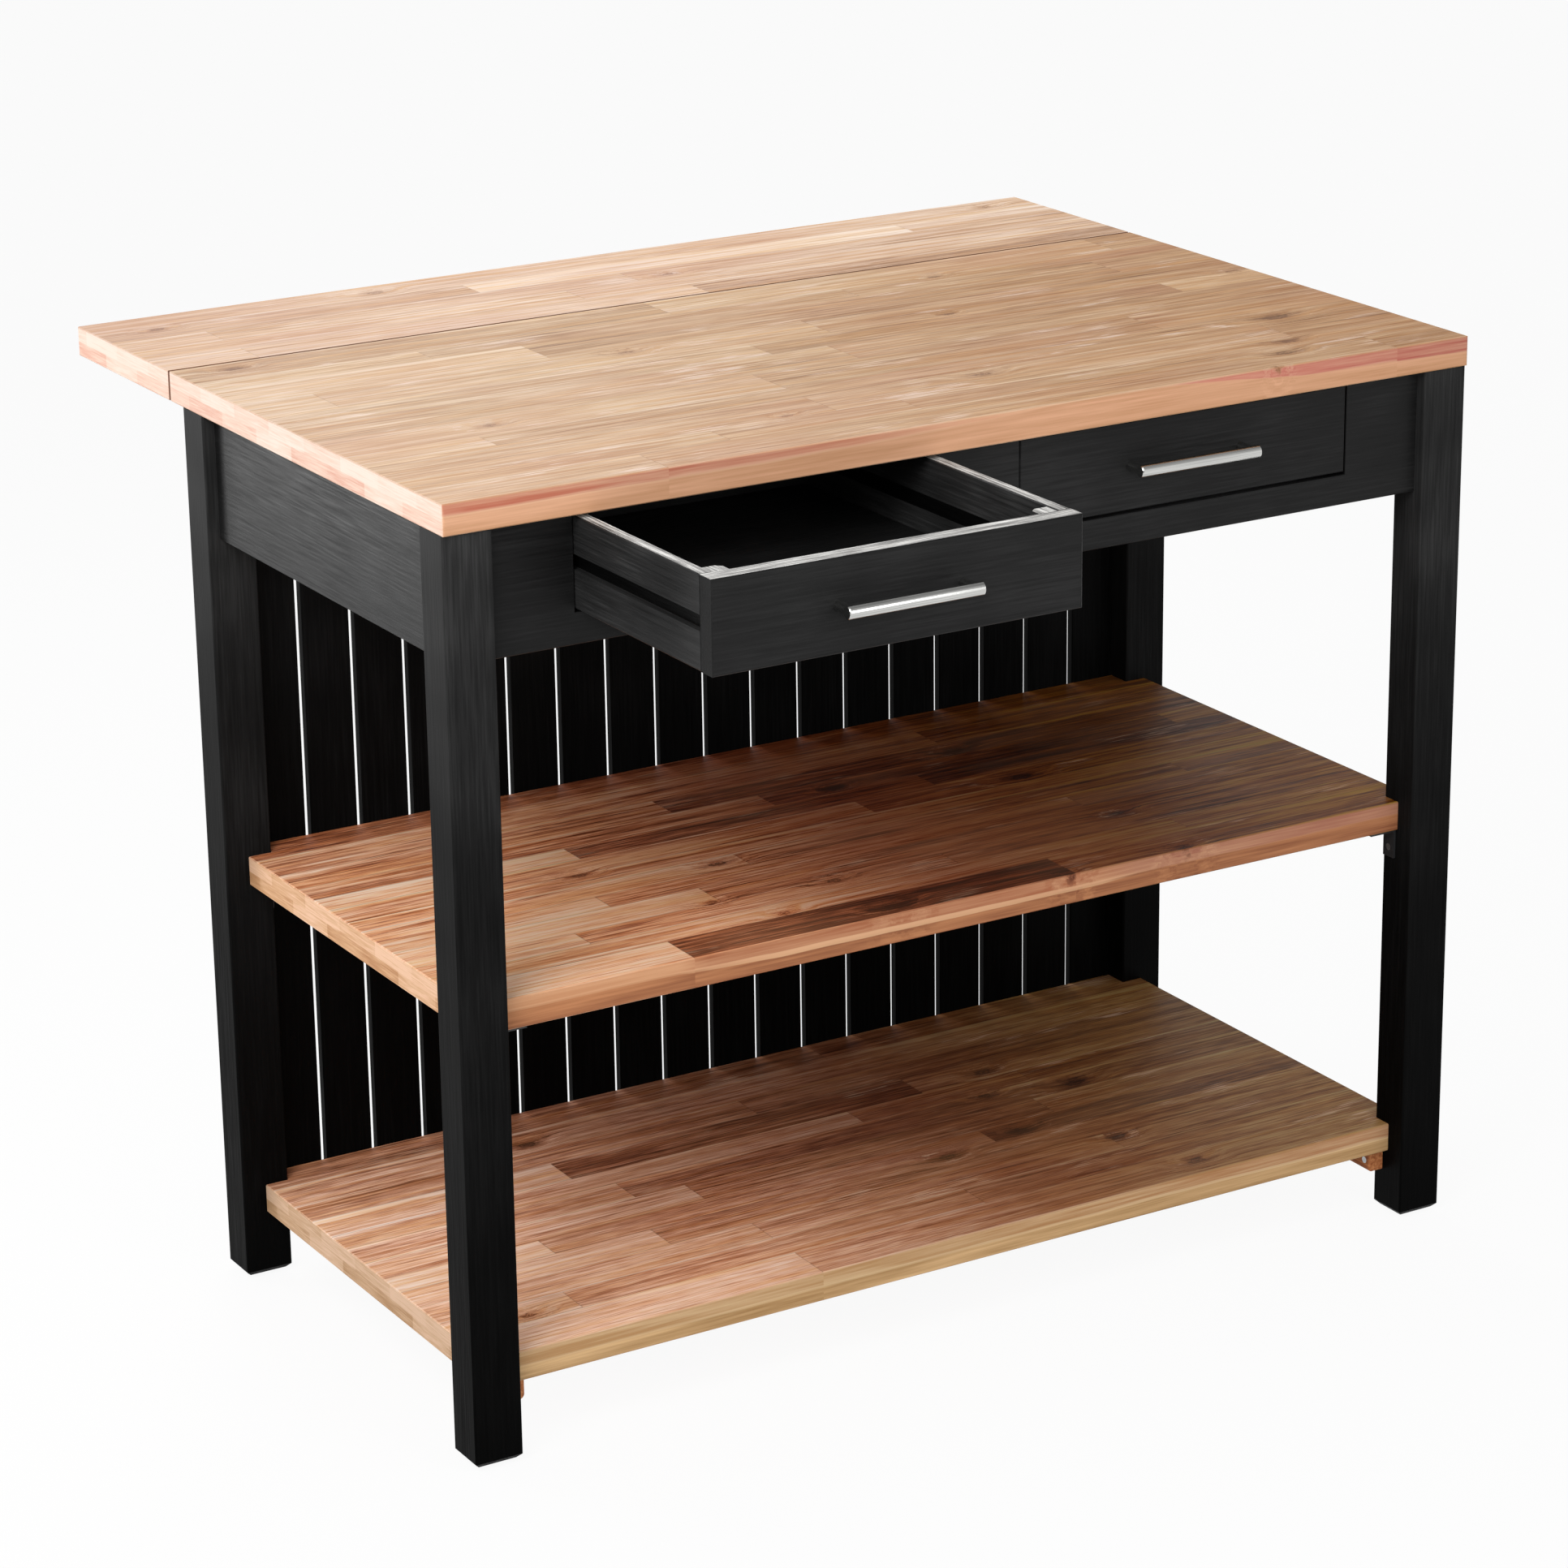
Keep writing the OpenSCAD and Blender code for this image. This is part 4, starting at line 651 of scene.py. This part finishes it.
# The camera and the shiny metal see nearly white paper, with a trace of the shadows that fall on it.
rays = add(tree, "LightPath")
seen = add(tree, "Math", {0: rays.outputs["Is Camera Ray"], 1: rays.outputs["Is Glossy Ray"]},
           operation="MAXIMUM")
seen = add(tree, "Math", {0: seen, 1: rays.outputs["Is Transmission Ray"]}, operation="MAXIMUM")
whiteness = 0.93
share = add(tree, "Math", {0: seen, 1: whiteness}, operation="MULTIPLY")
white = add(tree, "Emission", {"Color": (1, 1, 1, 1), "Strength": 1.0})
paper = add(tree, "MixShader", {0: share, 1: shader, 2: white})
tree.links.new(paper.outputs[0], tree.nodes["Material Output"].inputs["Surface"])
floor.data.materials.append(material)

world = bpy.data.worlds.new("studio_light")
world.use_nodes = True
scene.world = world
tree = world.node_tree
# The room is white at the horizon and grey overhead, so that metal shows bands of light and dark.
sky = add(tree, "SeparateXYZ", {0: add(tree, "TexCoord").outputs["Generated"]})
room = add(tree, "MapRange", {"Value": sky.outputs["Z"], "From Min": 0.2, "From Max": 1.0, "To Min": 1.0,
                              "To Max": 0.15})
background = tree.nodes["Background"]
background.inputs["Color"].default_value = (1, 1, 1, 1)
tree.links.new(room.outputs[0], background.inputs["Strength"])


def soft_box(name, place, target, size, watts):
    """A square area lamp, size metres across, at place and turned to target."""
    lamp = bpy.data.lights.new(name, "AREA")
    lamp.shape = "SQUARE"
    lamp.size = size
    lamp.energy = watts
    box = bpy.data.objects.new(name, lamp)
    turn = (Vector(place) - Vector(target)).to_track_quat("Z", "Y")
    box.matrix_world = Matrix.Translation(place) @ turn.to_matrix().to_4x4()
    box.visible_camera = False
    scene.collection.objects.link(box)


soft_box("front_left_soft_box", (-1.9, -1.3, 2.2), (-0.3, 0.0, 0.5), 1.3, 48)
soft_box("front_soft_box", (0.2, -2.0, 1.3), (0.0, -0.3, 0.6), 0.9, 12)
soft_box("back_soft_box", (0.3, 1.9, 2.3), (0.0, 0.3, 0.8), 1.2, 27)
soft_box("back_left_soft_box", (-1.25, 1.05, 0.72), (-0.5, -0.1, 0.7), 0.5, 5)

# The angle, place and lens were solved from the object's upright, long and deep edges in the photograph.
eye = (-2.2539, -3.72555, 1.9594)      # metres
yaw, pitch, roll = (math.radians(angle) for angle in (30.51, 18.752, -0.797))
camera_data = bpy.data.cameras.new("photo_camera")
camera_data.lens = 109.17              # mm, as the sensor's width
camera_data.sensor_width = 36.0
camera_data.clip_end = 100.0           # metres
camera = bpy.data.objects.new("photo_camera", camera_data)
camera.matrix_world = (Matrix.Translation(eye) @ Matrix.Rotation(-yaw, 4, "Z")
                       @ Matrix.Rotation(math.pi / 2 - pitch, 4, "X") @ Matrix.Rotation(roll, 4, "Z"))
scene.collection.objects.link(camera)
scene.camera = camera
scene.view_settings.view_transform = "Standard"
